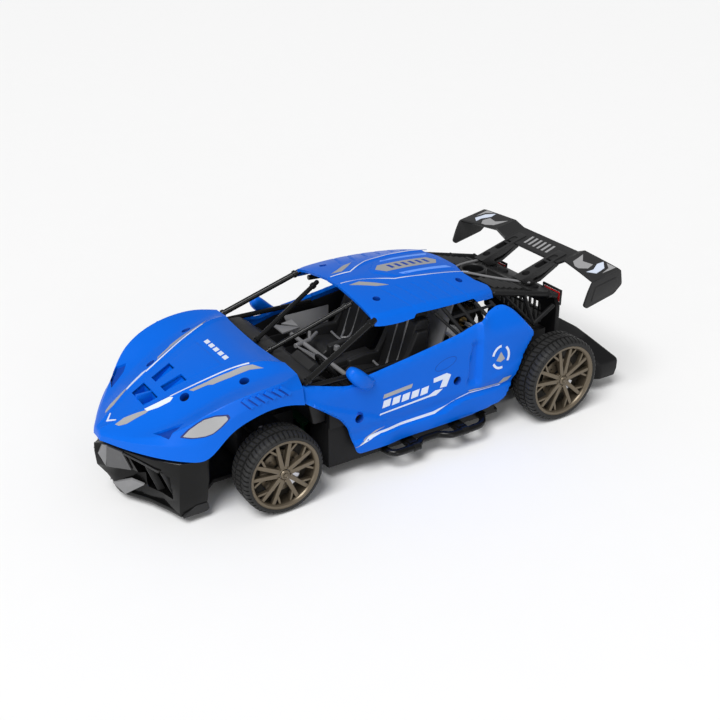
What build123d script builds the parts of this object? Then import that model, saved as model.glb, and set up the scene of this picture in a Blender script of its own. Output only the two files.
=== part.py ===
from build123d import *
import math
import os

# Remote control racing car, about 1:16. Millimetres, +X forward, +Y to the car's left, +Z up.
# The origin is on the ground, below the middle of the car's outer box.

# ---------------------------------------------------------------- driving dimensions
FRONT_AXLE_X = 74.0
WHEELBASE = 167.0
REAR_AXLE_X = FRONT_AXLE_X - WHEELBASE
FRONT_TYRE_R, REAR_TYRE_R = 20.8, 23.4
FRONT_RIM_R, REAR_RIM_R = 17.2, 19.3
FRONT_OUT_Y, REAR_OUT_Y = 57.5, 59.5   # centre line to a tyre's outer face
TYRE_W = 16.0
PIN_R = 1.5                       # axles and stub axles
RUN_GAP = 0.05                    # radial clearance of a running fit
SKIN = 1.6                        # wall of the moulded body panels
FLOOR_Z0, FLOOR_Z1 = 8.0, 10.0

KINGPIN_Y = 34.0
KINGPIN_R = 1.2
STEER_ARM = 11.0                  # kingpin to tie rod pin
HORN_ARM = 12.0                   # servo shaft to tie rod pin
TIE_ROD_X = FRONT_AXLE_X - STEER_ARM
HORN_X = TIE_ROD_X - HORN_ARM
TIE_ROD_Z0, TIE_ROD_Z1 = 28.4, 30.4
TIE_PIN_R = 0.9
TIE_SLOT_R = 1.15

GEAR_MODULE = 0.6
DRIVE_TEETH, IDLER_SMALL, IDLER_BIG, PINION_TEETH = 30, 12, 30, 10
MOTOR_X, MOTOR_Z = -70.0, REAR_TYRE_R
MOTOR_R = 10.0
STAGE1_Y, STAGE2_Y = 14.9, 20.5   # inner faces of the pinion stage and of the axle stage
GEAR_W = 4.9
CASE_X0, CASE_X1 = -105.0, -62.0
CASE_Y0, CASE_Y1, COVER_Y = 13.0, 27.0, 28.4
CASE_TOP = 39.6

BATTERY_X0, BATTERY_X1 = -48.0, 8.0
STAND_RAIL_Y0, STAND_RAIL_Y1 = 24.0, 30.0
STAND_RAIL_Z = 6.8                # flat rails that the car rests on when it is put on a stand
SWITCH_X, SWITCH_Y = 16.0, 20.0
TRIM_X = 34.0

SIDE_Y0, SIDE_Y1 = 46.4, 48.6     # side panel's inner and outer face
ARCH_R, ARCH_Z = 41.0, 12.0       # wheel arch in the body side
HOOD_HOLES = [(105.3, 20.1, 53.0), (80.6, 32.3, 60.1)]
ROOF_HOLES = [(4.4, 25.6, 81.1), (-46.0, 25.1, 79.3)]
SIDE_HOLES = [(29.7, 33.7), (-29.6, 36.8)]
HOLE_R = 1.9


# ---------------------------------------------------------------- small helpers
def block(x0, x1, y0, y1, z0, z1):
    """Box between two corners."""
    return Pos((x0 + x1) / 2, (y0 + y1) / 2, (z0 + z1) / 2) * Box(x1 - x0, y1 - y0, z1 - z0)


def rod(start, end, radius):
    """Round bar from one point to another."""
    a, b = Vector(*start), Vector(*end)
    return Solid.make_cylinder(radius, (b - a).length, Plane(origin=a, z_dir=b - a))


def bent_bar(points, radius):
    """Round bar through the points, with a ball at each corner."""
    bar = rod(points[0], points[1], radius)
    for start, end in zip(points[1:], points[2:]):
        bar = bar + Pos(*start) * Sphere(radius) + rod(start, end, radius)
    return bar


def upright(x, y, z0, z1, radius):
    """Cylinder parallel to Z."""
    return rod((x, y, z0), (x, y, z1), radius)


def crosswise(x, z, y0, y1, radius):
    """Cylinder parallel to Y."""
    return rod((x, y0, z), (x, y1, z), radius)


def side_profile(points, y0, y1):
    """Outline in X and Z, given a thickness along Y."""
    outline = Wire.make_polygon([(x, y0, z) for x, z in points])
    return Solid.extrude(Face(outline), Vector(0, y1 - y0, 0))


def plan_profile(points, z0, z1):
    """Outline in X and Y, given a thickness along Z."""
    outline = Wire.make_polygon([(x, y, z0) for x, y in points])
    return Solid.extrude(Face(outline), Vector(0, 0, z1 - z0))


def plan_loft(levels):
    """Solid through plan outlines, given as z and a left half each."""
    wires = [Wire.make_polygon([(x, y, z) for x, y in symmetric(points)]) for z, points in levels]
    return Solid.make_loft(wires, ruled=True)


def slot_along_x(x0, x1, y, z0, z1, radius):
    """Round-ended slot cutter between two centres."""
    return (
        upright(x0, y, z0, z1, radius)
        + upright(x1, y, z0, z1, radius)
        + block(x0, x1, y - radius, y + radius, z0, z1)
    )


def mirrored(shape):
    """The same piece on the car's other side."""
    return mirror(shape, about=Plane.XZ)


def group(shapes):
    """Separate solids as one piece list."""
    return Compound(children=[solid for shape in shapes for solid in shape.solids()])


def both_sides(shape):
    return group([shape, mirrored(shape)])


def symmetric(points):
    """Close a left-hand outline, front to back, with its mirror image."""
    return points + [(x, -y) for x, y in reversed(points) if y > 0]


def section(x, half):
    """Closed cross-section at x from the left half's points, top centre outwards."""
    right = [(x, -y, z) for y, z in reversed(half) if y > 0]
    return Wire.make_polygon([(x, y, z) for y, z in half] + right)


def skin_loft(stations):
    """Solid through cross-sections, given as x and a left half each."""
    return Solid.make_loft([section(x, half) for x, half in stations], ruled=True)


# ---------------------------------------------------------------- chassis
def chassis_tub():
    front = [(112, 0), (112, 24), (104, 33), (97, 27), (46, 27)]
    rear = [(44, 45), (-60, 45), (-64, 28.8), (-112, 28.8), (-112, 0)]
    tub = plan_profile(symmetric(front + rear), FLOOR_Z0, FLOOR_Z1)
    wall = side_profile([(44, FLOOR_Z1), (44, 44), (37, 44), (26, 29), (-58, 29), (-58, FLOOR_Z1)], 43, 45)
    bulkhead = block(42, 44, 27, 43, FLOOR_Z1, 31.5)
    nose_post = block(101, 109, 17, 23, FLOOR_Z1, 48.4)
    tub = tub + wall + mirrored(wall) + bulkhead + mirrored(bulkhead) + nose_post + mirrored(nose_post)
    rail = block(BATTERY_X0, BATTERY_X1, STAND_RAIL_Y0, STAND_RAIL_Y1, STAND_RAIL_Z, FLOOR_Z0)
    tub = tub + rail + mirrored(rail)
    tub = tub - block(BATTERY_X0, BATTERY_X1, -15, 15, FLOOR_Z0 - 1, FLOOR_Z1 + 1)
    tub = tub - slot_along_x(SWITCH_X - 1.0, SWITCH_X + 5.0, SWITCH_Y, FLOOR_Z0 - 1, FLOOR_Z1 + 1, 1.6)
    return tub - upright(TRIM_X, 0, FLOOR_Z0 - 1, FLOOR_Z1 + 1, PIN_R + RUN_GAP)


def front_axle_frame():
    """Lower kingpin plate with the two towers that carry the upper plate."""
    x0, x1 = FRONT_AXLE_X - 6, FRONT_AXLE_X + 6
    frame = block(x0, x1, -37.5, 37.5, FLOOR_Z1, FLOOR_Z1 + 2)
    tower = block(FRONT_AXLE_X - 2, x1, 19, 25, FLOOR_Z1 + 2, 33)
    frame = frame + tower + mirrored(tower)
    for side in (1, -1):
        frame = frame - upright(FRONT_AXLE_X, side * KINGPIN_Y, FLOOR_Z1, FLOOR_Z1 + 2, KINGPIN_R)
    return frame


def front_upper_arm():
    """Upper kingpin plate, with a post up to each rear hood screw."""
    x0, x1 = FRONT_AXLE_X - 6, FRONT_AXLE_X + 6
    arm = block(x0, x1, -37.5, 37.5, 33, 35)
    for side in (1, -1):
        arm = arm - upright(FRONT_AXLE_X, side * KINGPIN_Y, 33, 35, KINGPIN_R)
    post = block(FRONT_AXLE_X - 1, x1, 16, 22, 35, 47)
    beam = block(FRONT_AXLE_X, FRONT_AXLE_X + 10, -36, 36, 45, 47)
    boss = upright(HOOD_HOLES[1][0], HOOD_HOLES[1][1], 47, 55.5, 2.6)
    return arm + post + mirrored(post) + beam + boss + mirrored(boss)


def kingpins():
    return both_sides(upright(FRONT_AXLE_X, KINGPIN_Y, FLOOR_Z1, 35, KINGPIN_R))


def battery_cover():
    cover = block(BATTERY_X0 + 0.3, BATTERY_X1 - 0.3, -14.7, 14.7, FLOOR_Z0, FLOOR_Z1 - 0.2)
    return cover - upright(BATTERY_X1 - 4, 0, FLOOR_Z0, FLOOR_Z1, 1.0)


def battery_pack():
    return both_sides(rod((BATTERY_X0 + 2, 7.2, 17.4), (BATTERY_X1 - 6, 7.2, 17.4), 7.0))


def chassis_screws():
    """Screw in the battery cover's front edge, with its round head."""
    return upright(BATTERY_X1 - 4, 0, FLOOR_Z0, FLOOR_Z1 - 0.2, 1.0) + upright(BATTERY_X1 - 4, 0, 7.2, FLOOR_Z0, 2.0)


def circuit_board():
    board = block(12, 40, -14, 12, 14, 15.6)
    chips = block(16, 24, -8, 0, 15.6, 17.2) + block(28, 36, -10, -2, 15.6, 17.0)
    capacitor = upright(32, 6, 15.6, 24, 3.0)
    foot = block(12, 14, -14, -12, FLOOR_Z1, 14) + block(38, 40, 10, 12, FLOOR_Z1, 14)
    return board + chips + capacitor + foot


def switch_housing():
    x0, x1 = SWITCH_X - 5, SWITCH_X + 9
    case = block(x0, x1, SWITCH_Y - 4.5, SWITCH_Y + 4.5, FLOOR_Z1, 16)
    return case - block(x0 + 1, x1 - 1, SWITCH_Y - 3.5, SWITCH_Y + 3.5, FLOOR_Z1, 14.5)


def switch_knob():
    """Slider seen under the floor, with its neck and contact plate above."""
    plate = block(SWITCH_X - 3.4, SWITCH_X + 3.4, SWITCH_Y - 2.6, SWITCH_Y + 2.6, FLOOR_Z1 + 0.3, 12.2)
    neck = block(SWITCH_X - 2, SWITCH_X + 2, SWITCH_Y - 1.2, SWITCH_Y + 1.2, 7.6, FLOOR_Z1 + 0.3)
    knob = block(SWITCH_X - 2.6, SWITCH_X + 2.6, SWITCH_Y - 2.4, SWITCH_Y + 2.4, 6.0, 7.6)
    return plate + neck + knob


def trim_lever():
    """Lever under the floor that centres the steering."""
    pivot = upright(TRIM_X, 0, 7.6, 12.0, PIN_R)
    washer = upright(TRIM_X, 0, FLOOR_Z1 + 0.3, 12.0, 2.6)
    lever = slot_along_x(TRIM_X, TRIM_X + 11, 0, 5.8, 7.6, 2.6)
    return pivot + washer + lever + upright(TRIM_X + 11, 0, 4.8, 5.8, 1.6)


# ---------------------------------------------------------------- steering
def steering_servo():
    case = block(HORN_X - 7, HORN_X + 9, -10, 10, FLOOR_Z1, 24)
    return case - upright(HORN_X, 0, 18, 24, PIN_R + RUN_GAP)


def servo_horn():
    shaft = upright(HORN_X, 0, 18.4, 25.0, PIN_R)
    arm = slot_along_x(HORN_X, TIE_ROD_X, 0, 25.0, 27.8, 2.4)
    return shaft + arm + upright(TIE_ROD_X, 0, 27.8, TIE_ROD_Z1 + 1.0, TIE_PIN_R)


def tie_rod():
    z0, z1 = TIE_ROD_Z0, TIE_ROD_Z1
    bar = block(TIE_ROD_X - 2.6, TIE_ROD_X + 3.0, -37, 37, z0, z1)
    for side in (1, -1):
        bar = bar - slot_along_x(TIE_ROD_X, TIE_ROD_X + 0.9, side * KINGPIN_Y, z0, z1, TIE_SLOT_R)
    return bar - slot_along_x(TIE_ROD_X - 0.9, TIE_ROD_X, 0, z0, z1, TIE_SLOT_R)


def knuckle_left():
    """Steering knuckle: kingpin barrel, boss for the stub axle, arm back to the tie rod."""
    y = KINGPIN_Y
    barrel = upright(FRONT_AXLE_X, y, FLOOR_Z1 + 2.6, 32.4, 3.2)
    boss = crosswise(FRONT_AXLE_X, FRONT_TYRE_R, y, 43.8, 4.0)
    arm = slot_along_x(TIE_ROD_X, FRONT_AXLE_X, y, 25.2, 27.9, 2.2)
    pin = upright(TIE_ROD_X, y, 27.9, TIE_ROD_Z1 + 1.0, TIE_PIN_R)
    bore = upright(FRONT_AXLE_X, y, FLOOR_Z1, 34, KINGPIN_R + RUN_GAP)
    return barrel + boss + arm + pin - bore - crosswise(FRONT_AXLE_X, FRONT_TYRE_R, 37.4, 43.8, PIN_R)


def stub_axle_left():
    stub = crosswise(FRONT_AXLE_X, FRONT_TYRE_R, 37.4, 54.8, PIN_R)
    return stub + crosswise(FRONT_AXLE_X, FRONT_TYRE_R, 54.8, 55.8, 2.5)


# ---------------------------------------------------------------- wheels
def ring_profile(points, x, z):
    """Turn an outline of radius and Y about the wheel's own axis."""
    outline = Wire.make_polygon([(x + r, y, z) for r, y in points])
    return Solid.revolve(Face(outline), 360, Axis((x, 0, z), (0, 1, 0)))


def tyre_left(x, radius, rim_r, out_y):
    """Tyre with two grooves round its tread, its axle one tyre radius above the ground."""
    in_y = out_y - TYRE_W
    groove = 1.2
    shoulder, flank = radius - 0.9, (radius + rim_r) / 2
    profile = [(rim_r, in_y + 0.8), (flank, in_y), (shoulder, in_y + 0.8), (radius, in_y + 2.4)]
    for middle in (in_y + 5.6, in_y + 10.4):
        profile += [(radius, middle - 0.7), (radius - groove, middle - 0.5)]
        profile += [(radius - groove, middle + 0.5), (radius, middle + 0.7)]
    profile += [(radius, out_y - 2.4), (shoulder, out_y - 0.8), (flank, out_y)]
    profile += [(rim_r + 0.6, out_y - 0.2), (rim_r, out_y - 0.9)]
    return ring_profile(profile, x, radius)


def rim_left(x, z, rim_r, out_y, bore):
    """Rim barrel with five forked spokes and a counterbored hub."""
    barrel_y0, barrel_y1 = out_y - 14.9, out_y - 0.9
    face_y0, face_y1 = out_y - 3.9, out_y - 1.3
    inner = rim_r - 1.3
    barrel = [(inner, barrel_y0), (rim_r, barrel_y0), (rim_r, barrel_y1), (inner, barrel_y1)]
    rim = ring_profile(barrel, x, z) + crosswise(x, z, out_y - 13.1, face_y1, 4.2)
    for spoke in range(5):
        for fork in (-1, 1):
            start_angle = math.radians(72 * spoke + 90 + fork * 10)
            end_angle = math.radians(72 * spoke + 90 + fork * 17)
            start = (x + 2.6 * math.cos(start_angle), z + 2.6 * math.sin(start_angle))
            end = (x + (rim_r - 0.7) * math.cos(end_angle), z + (rim_r - 0.7) * math.sin(end_angle))
            rim = rim + bar_profile(start, end, 1.5, face_y0, face_y1)
    rim = rim - crosswise(x, z, 40, out_y - 3.0, bore)
    return rim - crosswise(x, z, out_y - 3.0, face_y1, 3.0)


def bar_profile(start, end, width, y0, y1):
    """Straight bar between two points in X and Z, with a thickness along Y."""
    length = math.dist(start, end)
    dx = (end[0] - start[0]) / length * width / 2
    dz = (end[1] - start[1]) / length * width / 2
    corners = [
        (start[0] - dz, start[1] + dx),
        (end[0] - dz, end[1] + dx),
        (end[0] + dz, end[1] - dx),
        (start[0] + dz, start[1] - dx),
    ]
    return side_profile(corners, y0, y1)


def wheel_cap_left(x, z, out_y):
    return crosswise(x, z, out_y - 1.3, out_y - 0.3, 3.8)


# ---------------------------------------------------------------- drive
def meshed_centres():
    """Idler centre that meshes with both the axle's gear and the motor's pinion."""
    to_axle = GEAR_MODULE * (DRIVE_TEETH + IDLER_SMALL) / 2
    to_motor = GEAR_MODULE * (IDLER_BIG + PINION_TEETH) / 2
    span = MOTOR_X - REAR_AXLE_X
    along = (to_axle**2 - to_motor**2 + span**2) / (2 * span)
    return REAR_AXLE_X + along, REAR_TYRE_R + math.sqrt(to_axle**2 - along**2)


def gear(centre, teeth, y0, y1, phase):
    """Spur gear about Y, with a tooth's middle at the phase angle in X and Z."""
    pitch_angle = 2 * math.pi / teeth
    pitch_r = GEAR_MODULE * teeth / 2
    flank = [
        (pitch_r - 1.15 * GEAR_MODULE, -0.28),
        (pitch_r, -0.20),
        (pitch_r + 0.85 * GEAR_MODULE, -0.10),
        (pitch_r + 0.85 * GEAR_MODULE, 0.10),
        (pitch_r, 0.20),
        (pitch_r - 1.15 * GEAR_MODULE, 0.28),
    ]
    outline = []
    for tooth in range(teeth):
        for radius, share in flank:
            angle = phase + (tooth + share) * pitch_angle
            outline.append((centre[0] + radius * math.cos(angle), centre[1] + radius * math.sin(angle)))
    return side_profile(outline, y0, y1)


def gear_train():
    """Drive gear, idler and pinion, in mesh."""
    idler = meshed_centres()
    axle = (REAR_AXLE_X, REAR_TYRE_R)
    motor = (MOTOR_X, MOTOR_Z)
    to_idler = math.atan2(idler[1] - axle[1], idler[0] - axle[0])
    to_motor = math.atan2(motor[1] - idler[1], motor[0] - idler[0])
    drive = gear(axle, DRIVE_TEETH, STAGE2_Y, STAGE2_Y + GEAR_W, to_idler)
    drive = drive - crosswise(*axle, 0, 40, PIN_R)
    small = gear(idler, IDLER_SMALL, STAGE1_Y + GEAR_W, STAGE2_Y + GEAR_W, to_idler + math.pi + math.pi / IDLER_SMALL)
    big = gear(idler, IDLER_BIG, STAGE1_Y, STAGE1_Y + GEAR_W, to_motor)
    compound = small + big - crosswise(*idler, 0, 40, 1.0 + RUN_GAP)
    pinion = gear(motor, PINION_TEETH, STAGE1_Y, STAGE1_Y + GEAR_W, to_motor + math.pi + math.pi / PINION_TEETH)
    return drive, compound, pinion - crosswise(*motor, 0, 40, 1.0)


def gearbox_case():
    wall = 1.2
    case = block(CASE_X0, CASE_X1, CASE_Y0, CASE_Y1, FLOOR_Z1, CASE_TOP)
    case = case - block(CASE_X0 + wall, CASE_X1 - wall, CASE_Y0 + wall, CASE_Y1, FLOOR_Z1 + wall, CASE_TOP - wall)
    case = case - crosswise(REAR_AXLE_X, REAR_TYRE_R, 10, 20, 2.4)
    case = case - crosswise(MOTOR_X, MOTOR_Z, 10, 20, 2.0)
    return case - crosswise(*meshed_centres(), 10, 20, 1.0)


def gearbox_cover():
    cover = block(CASE_X0, CASE_X1, CASE_Y1, COVER_Y, FLOOR_Z1, CASE_TOP)
    cover = cover - crosswise(REAR_AXLE_X, REAR_TYRE_R, 20, 30, 2.4)
    return cover - crosswise(*meshed_centres(), 20, 30, 1.0)


def idler_pin():
    return crosswise(*meshed_centres(), CASE_Y0, COVER_Y, 1.0)


def drive_motor():
    """Motor can with a hollow for the armature and an end bearing each side."""
    can = crosswise(MOTOR_X, MOTOR_Z, -13, CASE_Y0, MOTOR_R)
    can = can - crosswise(MOTOR_X, MOTOR_Z, -11.6, CASE_Y0 - 1.4, MOTOR_R - 1.4)
    cradle = block(MOTOR_X - 6, MOTOR_X + 6, -10, 10, FLOOR_Z1, 16) - crosswise(MOTOR_X, MOTOR_Z, -20, 20, MOTOR_R)
    return can + cradle - crosswise(MOTOR_X, MOTOR_Z, -13, CASE_Y0, 1.0 + RUN_GAP)


def motor_armature():
    shaft = crosswise(MOTOR_X, MOTOR_Z, -13.4, STAGE1_Y + GEAR_W, 1.0)
    return shaft + crosswise(MOTOR_X, MOTOR_Z, -9, 9, 6.5)


def rear_axle_shaft():
    half = REAR_OUT_Y - 3.1
    return crosswise(REAR_AXLE_X, REAR_TYRE_R, -half, half, PIN_R)


def axle_carriers():
    """Upright each side of the tub that holds an axle bush."""
    upright_block = side_profile([(-101, 9.99), (-99, 29), (-87, 29), (-85, 9.99)], 30, 34)
    foot = block(-101, -85, 28.8, 34, FLOOR_Z0, FLOOR_Z1)
    carrier = upright_block + foot - crosswise(REAR_AXLE_X, REAR_TYRE_R, 28, 36, 3.0)
    return both_sides(carrier)


def axle_bushes():
    bush = crosswise(REAR_AXLE_X, REAR_TYRE_R, 29.6, 35, 3.0) - crosswise(REAR_AXLE_X, REAR_TYRE_R, 29, 36, PIN_R + RUN_GAP)
    return both_sides(bush)


# ---------------------------------------------------------------- body shell
# Each row is x, then (y, z) of the left half: centre, ridge, flank, valley, fender crown,
# shoulder and lower lip. The lip rises over the wheel arch.
HOOD = [
    (141.0, [(0, 38.8), (1.5, 38.8), (3, 38.5), (4.5, 38.2), (5.6, 37.8), (6.4, 37.0), (6.8, 34.5)]),
    (134.0, [(0, 41.6), (4, 42.4), (8, 41.5), (12, 40.2), (16, 39.5), (18.8, 38.2), (19.4, 34)]),
    (124.0, [(0, 46.8), (9.5, 46.9), (15, 45.3), (24, 43.0), (30, 42.0), (34.6, 40.8), (35.2, 34)]),
    (114.0, [(0, 51.6), (12.8, 50.9), (19, 49.0), (29, 46.6), (41.0, 50.6), (43.6, 42.0), (44, 33.8)]),
    (107.0, [(0, 54.6), (15, 53.9), (22, 52.2), (31, 49.6), (44.2, 55.6), (47.4, 44.6), (48, 34)]),
    (98.0, [(0, 58.3), (17.4, 57.4), (26, 56.0), (33, 54.2), (46.6, 59.3), (49.0, 53.6), (49.6, 46.8)]),
    (88.0, [(0, 61.6), (20.2, 61.6), (28, 59.4), (34.5, 57.8), (48.2, 61.6), (49.5, 56.5), (50, 50.6)]),
    (78.0, [(0, 63.6), (23, 64.8), (30, 61.4), (36, 60.2), (48.6, 62.2), (49.6, 58.0), (50, 52.9)]),
    (68.0, [(0, 63.2), (26.5, 65.8), (32, 63.4), (37, 62.2), (48.0, 62.4), (49.4, 58.6), (50, 52.8)]),
    (58.6, [(0, 60.5), (30, 63.4), (35, 63.2), (39, 63.0), (42.6, 62.7), (48, 58.0), (49.8, 49.4)]),
]
ROOF_HOLES = [(4.4, 25.6, 81.1), (-46.0, 25.1, 79.3)]
SIDE_HOLES = [(29.7, 33.7), (-29.6, 36.8)]
HOLE_R = 1.9


# ---------------------------------------------------------------- small helpers
def block(x0, x1, y0, y1, z0, z1):
    """Box between two corners."""
    return Pos((x0 + x1) / 2, (y0 + y1) / 2, (z0 + z1) / 2) * Box(x1 - x0, y1 - y0, z1 - z0)


def rod(start, end, radius):
    """Round bar from one point to another."""
    a, b = Vector(*start), Vector(*end)
    return Solid.make_cylinder(radius, (b - a).length, Plane(origin=a, z_dir=b - a))


def bent_bar(points, radius):
    """Round bar through the points, with a ball at each corner."""
    bar = rod(points[0], points[1], radius)
    for start, end in zip(points[1:], points[2:]):
        bar = bar + Pos(*start) * Sphere(radius) + rod(start, end, radius)
    return bar


def upright(x, y, z0, z1, radius):
    """Cylinder parallel to Z."""
    return rod((x, y, z0), (x, y, z1), radius)


def crosswise(x, z, y0, y1, radius):
    """Cylinder parallel to Y."""
    return rod((x, y0, z), (x, y1, z), radius)


def side_profile(points, y0, y1):
    """Outline in X and Z, given a thickness along Y."""
    outline = Wire.make_polygon([(x, y0, z) for x, z in points])
    return Solid.extrude(Face(outline), Vector(0, y1 - y0, 0))


def plan_profile(points, z0, z1):
    """Outline in X and Y, given a thickness along Z."""
    outline = Wire.make_polygon([(x, y, z0) for x, y in points])
    return Solid.extrude(Face(outline), Vector(0, 0, z1 - z0))


def plan_loft(levels):
    """Solid through plan outlines, given as z and a left half each."""
    wires = [Wire.make_polygon([(x, y, z) for x, y in symmetric(points)]) for z, points in levels]
    return Solid.make_loft(wires, ruled=True)


def slot_along_x(x0, x1, y, z0, z1, radius):
    """Round-ended slot cutter between two centres."""
    return (
        upright(x0, y, z0, z1, radius)
        + upright(x1, y, z0, z1, radius)
        + block(x0, x1, y - radius, y + radius, z0, z1)
    )


def mirrored(shape):
    """The same piece on the car's other side."""
    return mirror(shape, about=Plane.XZ)


def group(shapes):
    """Separate solids as one piece list."""
    return Compound(children=[solid for shape in shapes for solid in shape.solids()])


def both_sides(shape):
    return group([shape, mirrored(shape)])


def symmetric(points):
    """Close a left-hand outline, front to back, with its mirror image."""
    return points + [(x, -y) for x, y in reversed(points) if y > 0]


def section(x, half):
    """Closed cross-section at x from the left half's points, top centre outwards."""
    right = [(x, -y, z) for y, z in reversed(half) if y > 0]
    return Wire.make_polygon([(x, y, z) for y, z in half] + right)


def skin_loft(stations):
    """Solid through cross-sections, given as x and a left half each."""
    return Solid.make_loft([section(x, half) for x, half in stations], ruled=True)


# ---------------------------------------------------------------- chassis
def chassis_tub():
    front = [(112, 0), (112, 24), (104, 33), (97, 27), (46, 27)]
    rear = [(44, 45), (-60, 45), (-64, 28.8), (-112, 28.8), (-112, 0)]
    tub = plan_profile(symmetric(front + rear), FLOOR_Z0, FLOOR_Z1)
    wall = side_profile([(44, FLOOR_Z1), (44, 44), (37, 44), (26, 29), (-58, 29), (-58, FLOOR_Z1)], 43, 45)
    bulkhead = block(42, 44, 27, 43, FLOOR_Z1, 31.5)
    nose_post = block(101, 109, 17, 23, FLOOR_Z1, 48.4)
    tub = tub + wall + mirrored(wall) + bulkhead + mirrored(bulkhead) + nose_post + mirrored(nose_post)
    rail = block(BATTERY_X0, BATTERY_X1, STAND_RAIL_Y0, STAND_RAIL_Y1, STAND_RAIL_Z, FLOOR_Z0)
    tub = tub + rail + mirrored(rail)
    tub = tub - block(BATTERY_X0, BATTERY_X1, -15, 15, FLOOR_Z0 - 1, FLOOR_Z1 + 1)
    tub = tub - slot_along_x(SWITCH_X - 1.0, SWITCH_X + 5.0, SWITCH_Y, FLOOR_Z0 - 1, FLOOR_Z1 + 1, 1.6)
    return tub - upright(TRIM_X, 0, FLOOR_Z0 - 1, FLOOR_Z1 + 1, PIN_R + RUN_GAP)


def front_axle_frame():
    """Lower kingpin plate with the two towers that carry the upper plate."""
    x0, x1 = FRONT_AXLE_X - 6, FRONT_AXLE_X + 6
    frame = block(x0, x1, -37.5, 37.5, FLOOR_Z1, FLOOR_Z1 + 2)
    tower = block(FRONT_AXLE_X - 2, x1, 19, 25, FLOOR_Z1 + 2, 33)
    frame = frame + tower + mirrored(tower)
    for side in (1, -1):
        frame = frame - upright(FRONT_AXLE_X, side * KINGPIN_Y, FLOOR_Z1, FLOOR_Z1 + 2, KINGPIN_R)
    return frame


def front_upper_arm():
    """Upper kingpin plate, with a post up to each rear hood screw."""
    x0, x1 = FRONT_AXLE_X - 6, FRONT_AXLE_X + 6
    arm = block(x0, x1, -37.5, 37.5, 33, 35)
    for side in (1, -1):
        arm = arm - upright(FRONT_AXLE_X, side * KINGPIN_Y, 33, 35, KINGPIN_R)
    post = block(FRONT_AXLE_X - 1, x1, 16, 22, 35, 47)
    beam = block(FRONT_AXLE_X, FRONT_AXLE_X + 10, -36, 36, 45, 47)
    boss = upright(HOOD_HOLES[1][0], HOOD_HOLES[1][1], 47, 55.5, 2.6)
    return arm + post + mirrored(post) + beam + boss + mirrored(boss)


def kingpins():
    return both_sides(upright(FRONT_AXLE_X, KINGPIN_Y, FLOOR_Z1, 35, KINGPIN_R))


def battery_cover():
    cover = block(BATTERY_X0 + 0.3, BATTERY_X1 - 0.3, -14.7, 14.7, FLOOR_Z0, FLOOR_Z1 - 0.2)
    return cover - upright(BATTERY_X1 - 4, 0, FLOOR_Z0, FLOOR_Z1, 1.0)


def battery_pack():
    return both_sides(rod((BATTERY_X0 + 2, 7.2, 17.4), (BATTERY_X1 - 6, 7.2, 17.4), 7.0))


def chassis_screws():
    """Screw in the battery cover's front edge, with its round head."""
    return upright(BATTERY_X1 - 4, 0, FLOOR_Z0, FLOOR_Z1 - 0.2, 1.0) + upright(BATTERY_X1 - 4, 0, 7.2, FLOOR_Z0, 2.0)


def circuit_board():
    board = block(12, 40, -14, 12, 14, 15.6)
    chips = block(16, 24, -8, 0, 15.6, 17.2) + block(28, 36, -10, -2, 15.6, 17.0)
    capacitor = upright(32, 6, 15.6, 24, 3.0)
    foot = block(12, 14, -14, -12, FLOOR_Z1, 14) + block(38, 40, 10, 12, FLOOR_Z1, 14)
    return board + chips + capacitor + foot


def switch_housing():
    x0, x1 = SWITCH_X - 5, SWITCH_X + 9
    case = block(x0, x1, SWITCH_Y - 4.5, SWITCH_Y + 4.5, FLOOR_Z1, 16)
    return case - block(x0 + 1, x1 - 1, SWITCH_Y - 3.5, SWITCH_Y + 3.5, FLOOR_Z1, 14.5)


def switch_knob():
    """Slider seen under the floor, with its neck and contact plate above."""
    plate = block(SWITCH_X - 3.4, SWITCH_X + 3.4, SWITCH_Y - 2.6, SWITCH_Y + 2.6, FLOOR_Z1 + 0.3, 12.2)
    neck = block(SWITCH_X - 2, SWITCH_X + 2, SWITCH_Y - 1.2, SWITCH_Y + 1.2, 7.6, FLOOR_Z1 + 0.3)
    knob = block(SWITCH_X - 2.6, SWITCH_X + 2.6, SWITCH_Y - 2.4, SWITCH_Y + 2.4, 6.0, 7.6)
    return plate + neck + knob


def trim_lever():
    """Lever under the floor that centres the steering."""
    pivot = upright(TRIM_X, 0, 7.6, 12.0, PIN_R)
    washer = upright(TRIM_X, 0, FLOOR_Z1 + 0.3, 12.0, 2.6)
    lever = slot_along_x(TRIM_X, TRIM_X + 11, 0, 5.8, 7.6, 2.6)
    return pivot + washer + lever + upright(TRIM_X + 11, 0, 4.8, 5.8, 1.6)


# ---------------------------------------------------------------- steering
def steering_servo():
    case = block(HORN_X - 7, HORN_X + 9, -10, 10, FLOOR_Z1, 24)
    return case - upright(HORN_X, 0, 18, 24, PIN_R + RUN_GAP)


def servo_horn():
    shaft = upright(HORN_X, 0, 18.4, 25.0, PIN_R)
    arm = slot_along_x(HORN_X, TIE_ROD_X, 0, 25.0, 27.8, 2.4)
    return shaft + arm + upright(TIE_ROD_X, 0, 27.8, TIE_ROD_Z1 + 1.0, TIE_PIN_R)


def tie_rod():
    z0, z1 = TIE_ROD_Z0, TIE_ROD_Z1
    bar = block(TIE_ROD_X - 2.6, TIE_ROD_X + 3.0, -37, 37, z0, z1)
    for side in (1, -1):
        bar = bar - slot_along_x(TIE_ROD_X, TIE_ROD_X + 0.9, side * KINGPIN_Y, z0, z1, TIE_SLOT_R)
    return bar - slot_along_x(TIE_ROD_X - 0.9, TIE_ROD_X, 0, z0, z1, TIE_SLOT_R)


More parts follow.
